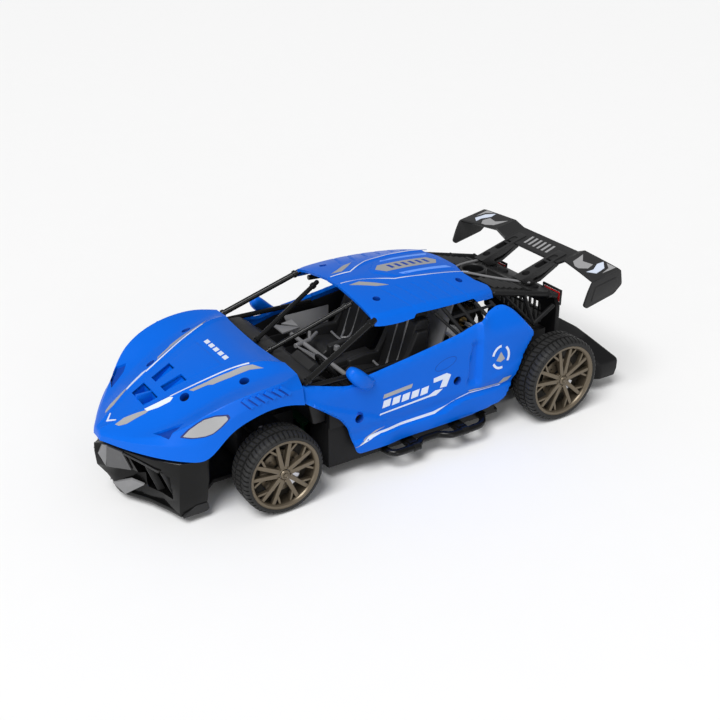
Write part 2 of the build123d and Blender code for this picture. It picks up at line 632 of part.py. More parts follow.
def knuckle_left():
    """Steering knuckle: kingpin barrel, boss for the stub axle, arm back to the tie rod."""
    y = KINGPIN_Y
    barrel = upright(FRONT_AXLE_X, y, FLOOR_Z1 + 2.6, 32.4, 3.2)
    boss = crosswise(FRONT_AXLE_X, FRONT_TYRE_R, y, 43.8, 4.0)
    arm = slot_along_x(TIE_ROD_X, FRONT_AXLE_X, y, 25.2, 27.9, 2.2)
    pin = upright(TIE_ROD_X, y, 27.9, TIE_ROD_Z1 + 1.0, TIE_PIN_R)
    bore = upright(FRONT_AXLE_X, y, FLOOR_Z1, 34, KINGPIN_R + RUN_GAP)
    return barrel + boss + arm + pin - bore - crosswise(FRONT_AXLE_X, FRONT_TYRE_R, 37.4, 43.8, PIN_R)


def stub_axle_left():
    stub = crosswise(FRONT_AXLE_X, FRONT_TYRE_R, 37.4, 54.8, PIN_R)
    return stub + crosswise(FRONT_AXLE_X, FRONT_TYRE_R, 54.8, 55.8, 2.5)


# ---------------------------------------------------------------- wheels
def ring_profile(points, x, z):
    """Turn an outline of radius and Y about the wheel's own axis."""
    outline = Wire.make_polygon([(x + r, y, z) for r, y in points])
    return Solid.revolve(Face(outline), 360, Axis((x, 0, z), (0, 1, 0)))


def tyre_left(x, radius, rim_r, out_y):
    """Tyre with two grooves round its tread, its axle one tyre radius above the ground."""
    in_y = out_y - TYRE_W
    groove = 1.2
    shoulder, flank = radius - 0.9, (radius + rim_r) / 2
    profile = [(rim_r, in_y + 0.8), (flank, in_y), (shoulder, in_y + 0.8), (radius, in_y + 2.4)]
    for middle in (in_y + 5.6, in_y + 10.4):
        profile += [(radius, middle - 0.7), (radius - groove, middle - 0.5)]
        profile += [(radius - groove, middle + 0.5), (radius, middle + 0.7)]
    profile += [(radius, out_y - 2.4), (shoulder, out_y - 0.8), (flank, out_y)]
    profile += [(rim_r + 0.6, out_y - 0.2), (rim_r, out_y - 0.9)]
    return ring_profile(profile, x, radius)


def rim_left(x, z, rim_r, out_y, bore):
    """Rim barrel with five forked spokes and a counterbored hub."""
    barrel_y0, barrel_y1 = out_y - 14.9, out_y - 0.9
    face_y0, face_y1 = out_y - 3.9, out_y - 1.3
    inner = rim_r - 1.3
    barrel = [(inner, barrel_y0), (rim_r, barrel_y0), (rim_r, barrel_y1), (inner, barrel_y1)]
    rim = ring_profile(barrel, x, z) + crosswise(x, z, out_y - 13.1, face_y1, 4.2)
    for spoke in range(5):
        for fork in (-1, 1):
            start_angle = math.radians(72 * spoke + 90 + fork * 10)
            end_angle = math.radians(72 * spoke + 90 + fork * 17)
            start = (x + 2.6 * math.cos(start_angle), z + 2.6 * math.sin(start_angle))
            end = (x + (rim_r - 0.7) * math.cos(end_angle), z + (rim_r - 0.7) * math.sin(end_angle))
            rim = rim + bar_profile(start, end, 1.5, face_y0, face_y1)
    rim = rim - crosswise(x, z, 40, out_y - 3.0, bore)
    return rim - crosswise(x, z, out_y - 3.0, face_y1, 3.0)


def bar_profile(start, end, width, y0, y1):
    """Straight bar between two points in X and Z, with a thickness along Y."""
    length = math.dist(start, end)
    dx = (end[0] - start[0]) / length * width / 2
    dz = (end[1] - start[1]) / length * width / 2
    corners = [
        (start[0] - dz, start[1] + dx),
        (end[0] - dz, end[1] + dx),
        (end[0] + dz, end[1] - dx),
        (start[0] + dz, start[1] - dx),
    ]
    return side_profile(corners, y0, y1)


def wheel_cap_left(x, z, out_y):
    return crosswise(x, z, out_y - 1.3, out_y - 0.3, 3.8)


# ---------------------------------------------------------------- drive
def meshed_centres():
    """Idler centre that meshes with both the axle's gear and the motor's pinion."""
    to_axle = GEAR_MODULE * (DRIVE_TEETH + IDLER_SMALL) / 2
    to_motor = GEAR_MODULE * (IDLER_BIG + PINION_TEETH) / 2
    span = MOTOR_X - REAR_AXLE_X
    along = (to_axle**2 - to_motor**2 + span**2) / (2 * span)
    return REAR_AXLE_X + along, REAR_TYRE_R + math.sqrt(to_axle**2 - along**2)


def gear(centre, teeth, y0, y1, phase):
    """Spur gear about Y, with a tooth's middle at the phase angle in X and Z."""
    pitch_angle = 2 * math.pi / teeth
    pitch_r = GEAR_MODULE * teeth / 2
    flank = [
        (pitch_r - 1.15 * GEAR_MODULE, -0.28),
        (pitch_r, -0.20),
        (pitch_r + 0.85 * GEAR_MODULE, -0.10),
        (pitch_r + 0.85 * GEAR_MODULE, 0.10),
        (pitch_r, 0.20),
        (pitch_r - 1.15 * GEAR_MODULE, 0.28),
    ]
    outline = []
    for tooth in range(teeth):
        for radius, share in flank:
            angle = phase + (tooth + share) * pitch_angle
            outline.append((centre[0] + radius * math.cos(angle), centre[1] + radius * math.sin(angle)))
    return side_profile(outline, y0, y1)


def gear_train():
    """Drive gear, idler and pinion, in mesh."""
    idler = meshed_centres()
    axle = (REAR_AXLE_X, REAR_TYRE_R)
    motor = (MOTOR_X, MOTOR_Z)
    to_idler = math.atan2(idler[1] - axle[1], idler[0] - axle[0])
    to_motor = math.atan2(motor[1] - idler[1], motor[0] - idler[0])
    drive = gear(axle, DRIVE_TEETH, STAGE2_Y, STAGE2_Y + GEAR_W, to_idler)
    drive = drive - crosswise(*axle, 0, 40, PIN_R)
    small = gear(idler, IDLER_SMALL, STAGE1_Y + GEAR_W, STAGE2_Y + GEAR_W, to_idler + math.pi + math.pi / IDLER_SMALL)
    big = gear(idler, IDLER_BIG, STAGE1_Y, STAGE1_Y + GEAR_W, to_motor)
    compound = small + big - crosswise(*idler, 0, 40, 1.0 + RUN_GAP)
    pinion = gear(motor, PINION_TEETH, STAGE1_Y, STAGE1_Y + GEAR_W, to_motor + math.pi + math.pi / PINION_TEETH)
    return drive, compound, pinion - crosswise(*motor, 0, 40, 1.0)


def gearbox_case():
    wall = 1.2
    case = block(CASE_X0, CASE_X1, CASE_Y0, CASE_Y1, FLOOR_Z1, CASE_TOP)
    case = case - block(CASE_X0 + wall, CASE_X1 - wall, CASE_Y0 + wall, CASE_Y1, FLOOR_Z1 + wall, CASE_TOP - wall)
    case = case - crosswise(REAR_AXLE_X, REAR_TYRE_R, 10, 20, 2.4)
    case = case - crosswise(MOTOR_X, MOTOR_Z, 10, 20, 2.0)
    return case - crosswise(*meshed_centres(), 10, 20, 1.0)


def gearbox_cover():
    cover = block(CASE_X0, CASE_X1, CASE_Y1, COVER_Y, FLOOR_Z1, CASE_TOP)
    cover = cover - crosswise(REAR_AXLE_X, REAR_TYRE_R, 20, 30, 2.4)
    return cover - crosswise(*meshed_centres(), 20, 30, 1.0)


def idler_pin():
    return crosswise(*meshed_centres(), CASE_Y0, COVER_Y, 1.0)


def drive_motor():
    """Motor can with a hollow for the armature and an end bearing each side."""
    can = crosswise(MOTOR_X, MOTOR_Z, -13, CASE_Y0, MOTOR_R)
    can = can - crosswise(MOTOR_X, MOTOR_Z, -11.6, CASE_Y0 - 1.4, MOTOR_R - 1.4)
    cradle = block(MOTOR_X - 6, MOTOR_X + 6, -10, 10, FLOOR_Z1, 16) - crosswise(MOTOR_X, MOTOR_Z, -20, 20, MOTOR_R)
    return can + cradle - crosswise(MOTOR_X, MOTOR_Z, -13, CASE_Y0, 1.0 + RUN_GAP)


def motor_armature():
    shaft = crosswise(MOTOR_X, MOTOR_Z, -13.4, STAGE1_Y + GEAR_W, 1.0)
    return shaft + crosswise(MOTOR_X, MOTOR_Z, -9, 9, 6.5)


def rear_axle_shaft():
    half = REAR_OUT_Y - 3.1
    return crosswise(REAR_AXLE_X, REAR_TYRE_R, -half, half, PIN_R)


def axle_carriers():
    """Upright each side of the tub that holds an axle bush."""
    upright_block = side_profile([(-101, 9.99), (-99, 29), (-87, 29), (-85, 9.99)], 30, 34)
    foot = block(-101, -85, 28.8, 34, FLOOR_Z0, FLOOR_Z1)
    carrier = upright_block + foot - crosswise(REAR_AXLE_X, REAR_TYRE_R, 28, 36, 3.0)
    return both_sides(carrier)


def axle_bushes():
    bush = crosswise(REAR_AXLE_X, REAR_TYRE_R, 29.6, 35, 3.0) - crosswise(REAR_AXLE_X, REAR_TYRE_R, 29, 36, PIN_R + RUN_GAP)
    return both_sides(bush)


# ---------------------------------------------------------------- body shell
# Each row is x, then (y, z) of the left half: centre, ridge, flank, valley, fender crown,
# shoulder and lower lip. The lip rises over the wheel arch.
HOOD = [
    (141.0, [(0, 38.8), (1.5, 38.8), (3, 38.5), (4.5, 38.2), (6, 37.8), (7.5, 37.0), (8, 34.5)]),
    (134.0, [(0, 41.6), (4, 42.4), (8, 41.5), (12, 40.2), (16, 39.5), (19.5, 38.6), (20.2, 34)]),
    (124.0, [(0, 46.8), (9.5, 46.9), (15, 45.3), (24, 43.0), (30, 42.2), (34, 41.0), (34.8, 34)]),
    (114.0, [(0, 51.6), (12.8, 50.9), (19, 49.0), (29, 46.6), (36.5, 48.0), (43, 44.6), (44, 33.8)]),
    (107.0, [(0, 54.6), (15, 53.9), (22, 52.2), (31, 49.6), (40.5, 53.2), (47.2, 46), (48, 34)]),
    (98.0, [(0, 58.3), (17.4, 57.4), (26, 56.0), (33, 54.2), (43, 57.3), (48.8, 53.6), (49.6, 46.8)]),
    (88.0, [(0, 61.6), (20.2, 61.6), (28, 59.4), (34.5, 57.8), (43.2, 60.2), (49, 56.5), (50, 50.6)]),
    (78.0, [(0, 63.6), (23, 64.8), (30, 61.4), (36, 60.2), (43.2, 62.0), (49, 58.0), (50, 52.9)]),
    (68.0, [(0, 63.2), (26.5, 65.8), (32, 63.4), (37, 62.2), (43, 63.0), (48.8, 58.6), (50, 52.8)]),
    (58.6, [(0, 60.5), (30, 63.4), (35, 63.2), (39, 63.0), (42.6, 62.7), (48, 58.0), (49.8, 49.4)]),
]
ROOF = [
    (13.0, [(0, 83.2), (15, 82.2), (26, 80.6), (36.0, 77.8), (38.6, 72.6)]),
    (4.0, [(0, 84.0), (15, 83.0), (26, 81.2), (37.2, 78.4), (40.0, 72.4)]),
    (-20.0, [(0, 84.5), (15, 83.4), (26, 81.4), (37.6, 78.2), (40.2, 72.6)]),
    (-46.0, [(0, 82.2), (17, 81.0), (26, 79.2), (36.6, 76.2), (39.0, 71.4)]),
    (-61.0, [(0, 79.4), (19, 78.2), (26, 76.8), (33.0, 75.0), (35.4, 70.0)]),
]


def inset(half, down, inward):
    """Inner face of a panel: lower by one wall, and narrower at its outer points."""
    return [(max(y - inward, 0) if y > 30 else y * 0.96, z - down) for y, z in half]


def hood_shell():
    outer = skin_loft(HOOD)
    inner = []
    for x, half in HOOD:
        shrink = min(1.0, (142.6 - x) / 20)
        points = inset(half, SKIN, SKIN)
        lip_y = max(half[-1][0] - SKIN, half[-1][0] * 0.6)
        points[-1] = (lip_y, 20)
        points[-2] = (min(points[-2][0], lip_y), points[-2][1])
        points = [(min(y, lip_y), z - (1 - shrink) * 1.2) for y, z in points]
        inner.append((x, points))
    inner[0] = (139.4, inner[0][1])
    inner[-1] = (56.0, inner[-1][1])
    shell = outer - skin_loft(inner)
    for x, y, z in HOOD_HOLES:
        for side in (1, -1):
            shell = shell - upright(x, side * y, z - 8, z + 6, HOLE_R)
    return shell


def inset_roof(half):
    """Inner face of the roof skin: lower by one wall, open at the bottom of its flanges."""
    points = [(y * 0.96, z - SKIN) for y, z in half]
    points[-1] = (half[-1][0] - SKIN, half[-1][1] - 4)
    return points


def roof_panel():
    inner = [(x, inset_roof(half)) for x, half in ROOF]
    inner[0] = (ROOF[0][0] + 1, inner[0][1])
    inner[-1] = (ROOF[-1][0] - 1, inner[-1][1])
    panel = skin_loft(ROOF) - skin_loft(inner)
    for x, y, z in ROOF_HOLES:
        for side in (1, -1):
            panel = panel - upright(x, side * y, z - 6, z + 4, HOLE_R)
    return panel


def side_panel_left():
    """Door and rear flank in one moulding, arched over the front wheel."""
    arch = []
    for step in range(8):
        angle = math.radians(114.7 + step * 8.6)
        arch.append((FRONT_AXLE_X + 0.5 + ARCH_R * math.cos(angle), ARCH_Z + ARCH_R * math.sin(angle)))
    top = [(57.6, 57.2), (34, 51.0), (25, 53.6), (-23, 60.3), (-58, 68.6), (-66, 69.0), (-77, 54.5)]
    bottom = [(-71.4, 37), (-64.4, 22), (-61, 16), (-14, 14.5)]
    panel = side_profile(top + bottom + list(reversed(arch)), SIDE_Y0, SIDE_Y1)
    for x, z in SIDE_HOLES:
        panel = panel - crosswise(x, z, SIDE_Y0 - 1, SIDE_Y1 + 1, HOLE_R)
    intake = side_profile([(-38, 54), (-46.5, 52), (-44, 29), (-36, 32)], SIDE_Y1 - 0.9, SIDE_Y1 + 1)
    return panel - intake


def door_mirrors():
    arm = block(22, 29, SIDE_Y1, 51.5, 48.5, 54)
    head = block(27, 36, 45.5, 53.0, 55.5, 61.5) - block(26, 28.5, 46.5, 52.0, 56.5, 60.5)
    neck = block(27, 29, 49.2, 51.5, 54, 55.5)
    return both_sides(arm + neck + head)


def body_screws():
    """Self-tapping screws sunk in the body's screw wells."""
    screws = []
    for x, y, z in HOOD_HOLES:
        screws.append(upright(x, y, z - 4.2, z - 2.4, HOLE_R - 0.2))
    for x, y, z in ROOF_HOLES:
        screws.append(upright(x, y, z - 3.4, z - 1.8, HOLE_R - 0.2))
    for x, z in SIDE_HOLES:
        screws.append(crosswise(x, z, SIDE_Y0 + 0.2, SIDE_Y0 + 1.4, HOLE_R - 0.2))
    return both_sides(group(screws))


# ---------------------------------------------------------------- bumpers, deck, wing
def front_bumper():
    """Faceted splitter: low lip, undercut face below the hood, a blade at each corner."""
    lip_outline = [(135.4, 0), (135.4, 4), (122.2, 24.7), (118.5, 39), (107, 39), (103.7, 33), (103.7, 0)]
    top = [(143.9, 0), (143.9, 3), (136, 14), (126, 31), (113, 40.5), (111, 40.5), (111, 0)]
    bottom = [(135.4, 0), (135.4, 4), (128.8, 14), (122.2, 24.7), (118, 38), (111, 38), (111, 0)]
    nose = plan_loft([(30.5, top), (6.0, bottom)])
    top_inside = [(139.5, 0), (139.5, 2), (132, 13), (122.5, 28.5), (112, 37), (100, 37), (100, 0)]
    bottom_inside = [(132, 0), (132, 2.5), (125.6, 12.5), (119, 23), (115, 35), (100, 35), (100, 0)]
    nose = nose - plan_loft([(29.0, top_inside), (6.01, bottom_inside)])
    mouth = block(118, 150, 10, 24, 10, 25)
    nose = nose - mouth - mirrored(mouth)
    tongue = block(104, 116, -10, 10, 6, FLOOR_Z0)
    blade = side_profile([(118, 6), (110, 12), (107, 12), (107, 6)], 37.2, 39.0)
    return plan_profile(symmetric(lip_outline), 4, 6) + nose + tongue + blade + mirrored(blade)


def rear_bumper():
    levels = [
        (8.0, [(-113, 0), (-113, 33), (-119, 38), (-132, 47), (-142.5, 47), (-144, 30), (-144, 0)]),
        (18.5, [(-113, 0), (-113, 33), (-119, 38), (-130, 47), (-143.8, 47), (-144, 30), (-144, 0)]),
        (30.0, [(-113, 0), (-113, 31), (-118, 33), (-126, 33), (-131, 32), (-134, 22), (-134, 0)]),
    ]
    bumper = plan_loft(levels)
    return bumper - block(-139, -113, -30, 30, 7, 26)


def rear_fascia():
    panel = block(-112, -109, -31, 31, 30.2, 57)
    return panel - block(-113, -108, -20, 20, 38, 50)


def tail_lamps():
    return both_sides(side_profile([(-112, 50), (-112, 60.5), (-114.5, 60), (-116.5, 51)], 15, 31))


def deck_z(x):
    """Height of the sloping rear deck's top face."""
    return 73.0 - (-60.0 - x) * 13.0 / 48.0


def rear_deck():
    """Sloping engine deck with an air inlet ring and bracing slots."""
    x0, x1 = -62.0, -111.0
    stations = [
        (x0, [(0, deck_z(x0)), (31, deck_z(x0)), (31, deck_z(x0) - 2)]),
        (x1, [(0, deck_z(x1)), (30, deck_z(x1)), (30, deck_z(x1) - 2)]),
    ]
    deck = skin_loft(stations)
    ring_z = deck_z(-75)
    deck = deck + upright(-75, 0, ring_z - 1.5, ring_z + 1.8, 7.6) - upright(-75, 0, ring_z - 6, ring_z + 4, 5.6)
    for side in (1, -1):
        y0, y1 = sorted((side * 12, side * 26))
        deck = deck - block(-88, -66, y0, y1, 55, 80)
    return deck


def rear_wing():
    """Wing plate with a raised tip each side, endplates and two deep mounting arms."""
    middle = wing_slab([(-115, 73.4), (-129.6, 77.4)], [(-115, 73.4), (-129.6, 77.4)], -22.9, 22.9)
    knee = wing_slab([(-115, 73.4), (-129.6, 77.4)], [(-113.6, 77.2), (-128.5, 80.0)], 22.8, 29.2)
    tip = wing_slab([(-113.6, 77.2), (-128.5, 80.0)], [(-108.7, 75.2), (-127.8, 78.6)], 29.1, 56.2)
    plate = [(-108.5, 75.4), (-127.9, 79.0), (-129.7, 70.2), (-124.5, 65.7), (-105.6, 61.5), (-103.8, 63.2), (-106, 69.9)]
    endplate = side_profile(plate, 56.0, 57.4)
    arm_outline = [(-91.5, 67.4), (-116, 74.4), (-124, 76.4), (-117, 70), (-106, 63.9), (-97, 63.0)]
    arm = side_profile(arm_outline, 13.4, 20.4)
    arm = arm - upright(-97.9, 17.0, 55, 80, 2.2) - slot_along_x(-118, -107, 17.0, 60, 80, 1.7)
    half = knee + tip + endplate + arm
    return middle + half + mirrored(half)


def wing_slab(inner, outer, y0, y1):
    """Thin plate between a front-to-rear line at y0 and another at y1."""
    thick = 1.6
    wires = []
    for line, y in ((inner, y0), (outer, y1)):
        (xf, zf), (xr, zr) = line
        wires.append(Wire.make_polygon([(xf, y, zf), (xr, y, zr), (xr, y, zr - thick), (xf, y, zf - thick)]))
    return Solid.make_loft(wires, ruled=True)


def side_step_left():
    """Tubular step below the door, on three lugs."""
    rail = [(13, 47, 10.5), (13, 53, 10.5), (10, 54.6, 10.5), (0, 54.6, 10.5), (-6.5, 50.5, 10.5), (-17, 50.5, 10.5)]
    rail += [(-25, 54.8, 10.5), (-40, 55, 10.5), (-45, 52, 10.5), (-48, 47, 10.5)]
    step = bent_bar(rail, 1.7)
    lugs = block(-4, 2, 45, 53, 9.4, 11.4) + block(-34, -28, 45, 54, 9.4, 11.4)
    ends = block(11, 15, 45, 48, 9.2, 11.8) + block(-50, -46, 45, 48, 9.2, 11.8)
    return step + lugs + ends


# ---------------------------------------------------------------- cockpit and cage
def cockpit_tray():
    left = [(35, 0), (35, 42.4), (-57, 42.4), (-57, 0)]
    tray = plan_profile(symmetric(left), 30, 31.4)
    sill = block(-57, 30, 41, 42.4, 31.4, 40)
    tunnel = block(-57, 20, -5, 5, 31.4, 37)
    return tray + sill + mirrored(sill) + tunnel


def dashboard():
    return side_profile([(50, 32), (55, 57), (46, 56), (36, 47), (36, 32)], -41, 41)


def seats():
    base = side_profile([(-14, 31.4), (12, 31.4), (13, 40), (-8, 37.5), (-16, 66), (-24, 66), (-20, 45)], 8, 34)
    headrest = block(-26, -18, 14, 28, 66, 72)
    return both_sides(base + headrest)


def roll_cage():
    """Separate straight tubes: pillars, windscreen bars, cowl bar, roof rails and rear hoop."""
    pillar = rod((57.4, 44.6, 58.2), (13.6, 33.0, 73.4), 1.5)
    screen_bar = rod((57.2, 6.4, 57.6), (13.6, 16.6, 78.0), 1.2)
    roof_rail = rod((9.6, 32.4, 72.6), (-57, 29.4, 69.6), 1.4)
    hoop_leg = rod((-54, 37.6, 32.0), (-50, 33.0, 69.4), 1.5)
    sill_bar = rod((54.4, 44.2, 55.0), (2, 43.6, 53.8), 1.3)
    tubes = both_sides(group([pillar, screen_bar, roof_rail, hoop_leg, sill_bar]))
    cowl = rod((59.6, -43, 56.0), (59.6, 43, 56.0), 1.4)
    cross = rod((-50, -30, 66.0), (-50, 30, 66.0), 1.4)
    return group([tubes, cowl, cross])


def window_net_left():
    """Bars between the roof rail and the door sill, with one cross bar."""
    bars = []
    tops = [(-26.3, 37.4, 71.6), (-36.2, 37.4, 71.0), (-46.8, 37.0, 69.8)]
    feet = [(-34.6, 45.0, 61.1), (-42.6, 45.0, 62.2), (-50.4, 45.0, 65.0)]
    net = rod((-29.6, 41.4, 66.6), (-50.6, 41.2, 68.2), 0.8)
    for top, foot in zip(tops, feet):
        net = net + rod(top, foot, 0.9)
        bars.append(foot)
    return net + bent_bar(bars, 0.9)


def rear_braces():
    """Rails and diagonal braces each side of the engine deck."""
    rail = rod((-61.5, 33.6, 70.0), (-106, 33.0, 58.6), 1.5)
    stay = rod((-84.6, 33.4, 62.0), (-89.6, 33.2, 46.0), 1.0)
    brace = rod((-105, 33.6, 55.4), (-90.6, 33.2, 45.0), 1.2)
    return both_sides(group([rail + stay + brace]))


# ---------------------------------------------------------------- write the pieces
def pieces():
    drive, idler, pinion = gear_train()
    stub_bore = PIN_R + RUN_GAP
    front_tyre = tyre_left(FRONT_AXLE_X, FRONT_TYRE_R, FRONT_RIM_R, FRONT_OUT_Y)
    rear_tyre = tyre_left(REAR_AXLE_X, REAR_TYRE_R, REAR_RIM_R, REAR_OUT_Y)
    front_rim = rim_left(FRONT_AXLE_X, FRONT_TYRE_R, FRONT_RIM_R, FRONT_OUT_Y, stub_bore)
    rear_rim = rim_left(REAR_AXLE_X, REAR_TYRE_R, REAR_RIM_R, REAR_OUT_Y, PIN_R)
    front_cap = wheel_cap_left(FRONT_AXLE_X, FRONT_TYRE_R, FRONT_OUT_Y)
    rear_cap = wheel_cap_left(REAR_AXLE_X, REAR_TYRE_R, REAR_OUT_Y)
    return {
        "chassis_tub": chassis_tub(),
        "front_axle_frame": front_axle_frame(),
        "front_upper_arm": front_upper_arm(),
        "kingpins": kingpins(),
        "battery_cover": battery_cover(),
        "battery_pack": battery_pack(),
        "chassis_screws": chassis_screws(),
        "circuit_board": circuit_board(),
        "switch_housing": switch_housing(),
        "switch_knob": switch_knob(),
        "trim_lever": trim_lever(),
        "steering_servo": steering_servo(),
        "servo_horn": servo_horn(),
        "tie_rod": tie_rod(),
        "knuckle_left": knuckle_left(),
        "knuckle_right": mirrored(knuckle_left()),
        "stub_axle_left": stub_axle_left(),
        "stub_axle_right": mirrored(stub_axle_left()),
        "tyre_front_left": front_tyre,
        "tyre_front_right": mirrored(front_tyre),
        "tyre_rear_left": rear_tyre,
        "tyre_rear_right": mirrored(rear_tyre),
        "rim_front_left": front_rim,
        "rim_front_right": mirrored(front_rim),
        "rim_rear_left": rear_rim,
        "rim_rear_right": mirrored(rear_rim),
        "wheel_cap_front_left": front_cap,
        "wheel_cap_front_right": mirrored(front_cap),
        "wheel_caps_rear": both_sides(rear_cap),
        "drive_gear": drive,
        "idler_gear": idler,
        "pinion_gear": pinion,
        "gearbox_case": gearbox_case(),
        "gearbox_cover": gearbox_cover(),
        "idler_pin": idler_pin(),
        "drive_motor": drive_motor(),
        "motor_armature": motor_armature(),
        "rear_axle_shaft": rear_axle_shaft(),
        "axle_carriers": axle_carriers(),
        "axle_bushes": axle_bushes(),
        "hood_shell": hood_shell(),
        "roof_panel": roof_panel(),
        "side_panel_left": side_panel_left(),
        "side_panel_right": mirrored(side_panel_left()),
        "door_mirrors": door_mirrors(),
        "body_screws": body_screws(),
        "front_bumper": front_bumper(),
        "rear_bumper": rear_bumper(),
        "rear_fascia": rear_fascia(),
        "tail_lamps": tail_lamps(),
        "rear_deck": rear_deck(),
        "rear_wing": rear_wing(),
        "side_step_left": side_step_left(),
        "side_step_right": mirrored(side_step_left()),
        "cockpit_tray": cockpit_tray(),
        "dashboard": dashboard(),
        "seats": seats(),
        "roll_cage": roll_cage(),
        "window_nets": both_sides(window_net_left()),
        "rear_braces": rear_braces(),
    }


def main():
    os.makedirs("parts", exist_ok=True)
    for name, shape in pieces().items():
        export_step(shape, f"parts/{name}.step")


main()
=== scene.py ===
import math

import bmesh
import bpy
from mathutils import Matrix, Vector
from mathutils.bvhtree import BVHTree


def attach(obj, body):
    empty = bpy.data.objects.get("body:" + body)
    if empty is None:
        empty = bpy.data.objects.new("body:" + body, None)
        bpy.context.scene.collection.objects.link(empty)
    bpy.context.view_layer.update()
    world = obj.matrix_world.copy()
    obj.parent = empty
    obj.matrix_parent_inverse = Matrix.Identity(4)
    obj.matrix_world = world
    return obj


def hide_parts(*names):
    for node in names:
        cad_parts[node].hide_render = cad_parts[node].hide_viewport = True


# Remote control racing car. Lengths below are in millimetres, +X forward, +Y to the car's left,
# and become metres when a piece is made.
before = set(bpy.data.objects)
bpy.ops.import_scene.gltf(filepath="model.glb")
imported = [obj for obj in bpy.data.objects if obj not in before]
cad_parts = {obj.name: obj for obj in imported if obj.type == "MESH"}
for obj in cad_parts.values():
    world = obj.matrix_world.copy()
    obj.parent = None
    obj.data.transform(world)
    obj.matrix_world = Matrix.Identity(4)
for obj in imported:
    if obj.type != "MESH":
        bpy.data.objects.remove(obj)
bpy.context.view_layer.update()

MM = 0.001
PI = math.pi
# x of the axle, tyre radius, rim radius, outer face
FRONT_WHEEL = (74.0, 20.8, 17.2, 57.5)
REAR_WHEEL = (-93.0, 23.4, 19.3, 59.5)


# ---------------------------------------------------------------- materials
def plastic(name, colour, rough, metal=0.0, coat=0.0, grain=0.0, scale=900.0, mottle=0.05, wear=0.0, shine=0.5):
    """Moulded, painted or turned surface: cloudy tint, uneven gloss, fine grain and paler worn edges."""
    mat = bpy.data.materials.new(name)
    mat.use_nodes = True
    nodes, link = mat.node_tree.nodes, mat.node_tree.links.new
    out = nodes["Principled BSDF"]
    out.inputs["Metallic"].default_value = metal
    out.inputs["Coat Weight"].default_value = coat
    out.inputs["Specular IOR Level"].default_value = shine
    out.inputs["Coat Roughness"].default_value = 0.15
    place = nodes.new("ShaderNodeTexCoord").outputs["Object"]

    def noise(size, detail):
        node = nodes.new("ShaderNodeTexNoise")
        node.inputs["Scale"].default_value = size
        node.inputs["Detail"].default_value = detail
        link(place, node.inputs["Vector"])
        return node.outputs["Fac"]

    def mix(factor, first, second):
        node = nodes.new("ShaderNodeMix")
        node.data_type = "RGBA"
        link(factor, node.inputs["Factor"])
        for socket, value in (("A", first), ("B", second)):
            target = [i for i in node.inputs if i.name == socket and i.type == "RGBA"][0]
            if isinstance(value, tuple):
                target.default_value = (*value, 1)
            else:
                link(value, target)
        return [o for o in node.outputs if o.type == "RGBA"][0]

    def remap(value, low, high, to_low, to_high):
        node = nodes.new("ShaderNodeMapRange")
        for socket, number in zip(("From Min", "From Max", "To Min", "To Max"), (low, high, to_low, to_high)):
            node.inputs[socket].default_value = number
        link(value, node.inputs["Value"])
        return node.outputs["Result"]

    dark = tuple(c * (1 - mottle) for c in colour)
    light = tuple(min(1.0, c * (1 + mottle)) for c in colour)
    tint = mix(noise(38.0, 3.0), dark, light)
    if wear:
        edge = nodes.new("ShaderNodeNewGeometry").outputs["Pointiness"]
        tint = mix(remap(edge, 0.52, 0.62, 0.0, wear), tint, tuple(min(1.0, c * 1.8 + 0.02) for c in colour))
    link(tint, out.inputs["Base Color"])
    link(remap(noise(75.0, 5.0), 0.3, 0.7, max(0.03, rough - 0.04), rough + 0.05), out.inputs["Roughness"])
    if grain:
        bump = nodes.new("ShaderNodeBump")
        bump.inputs["Strength"].default_value = grain
        bump.inputs["Distance"].default_value = 0.0001
        link(noise(scale, 2.0), bump.inputs["Height"])
        link(bump.outputs["Normal"], out.inputs["Normal"])
    return mat


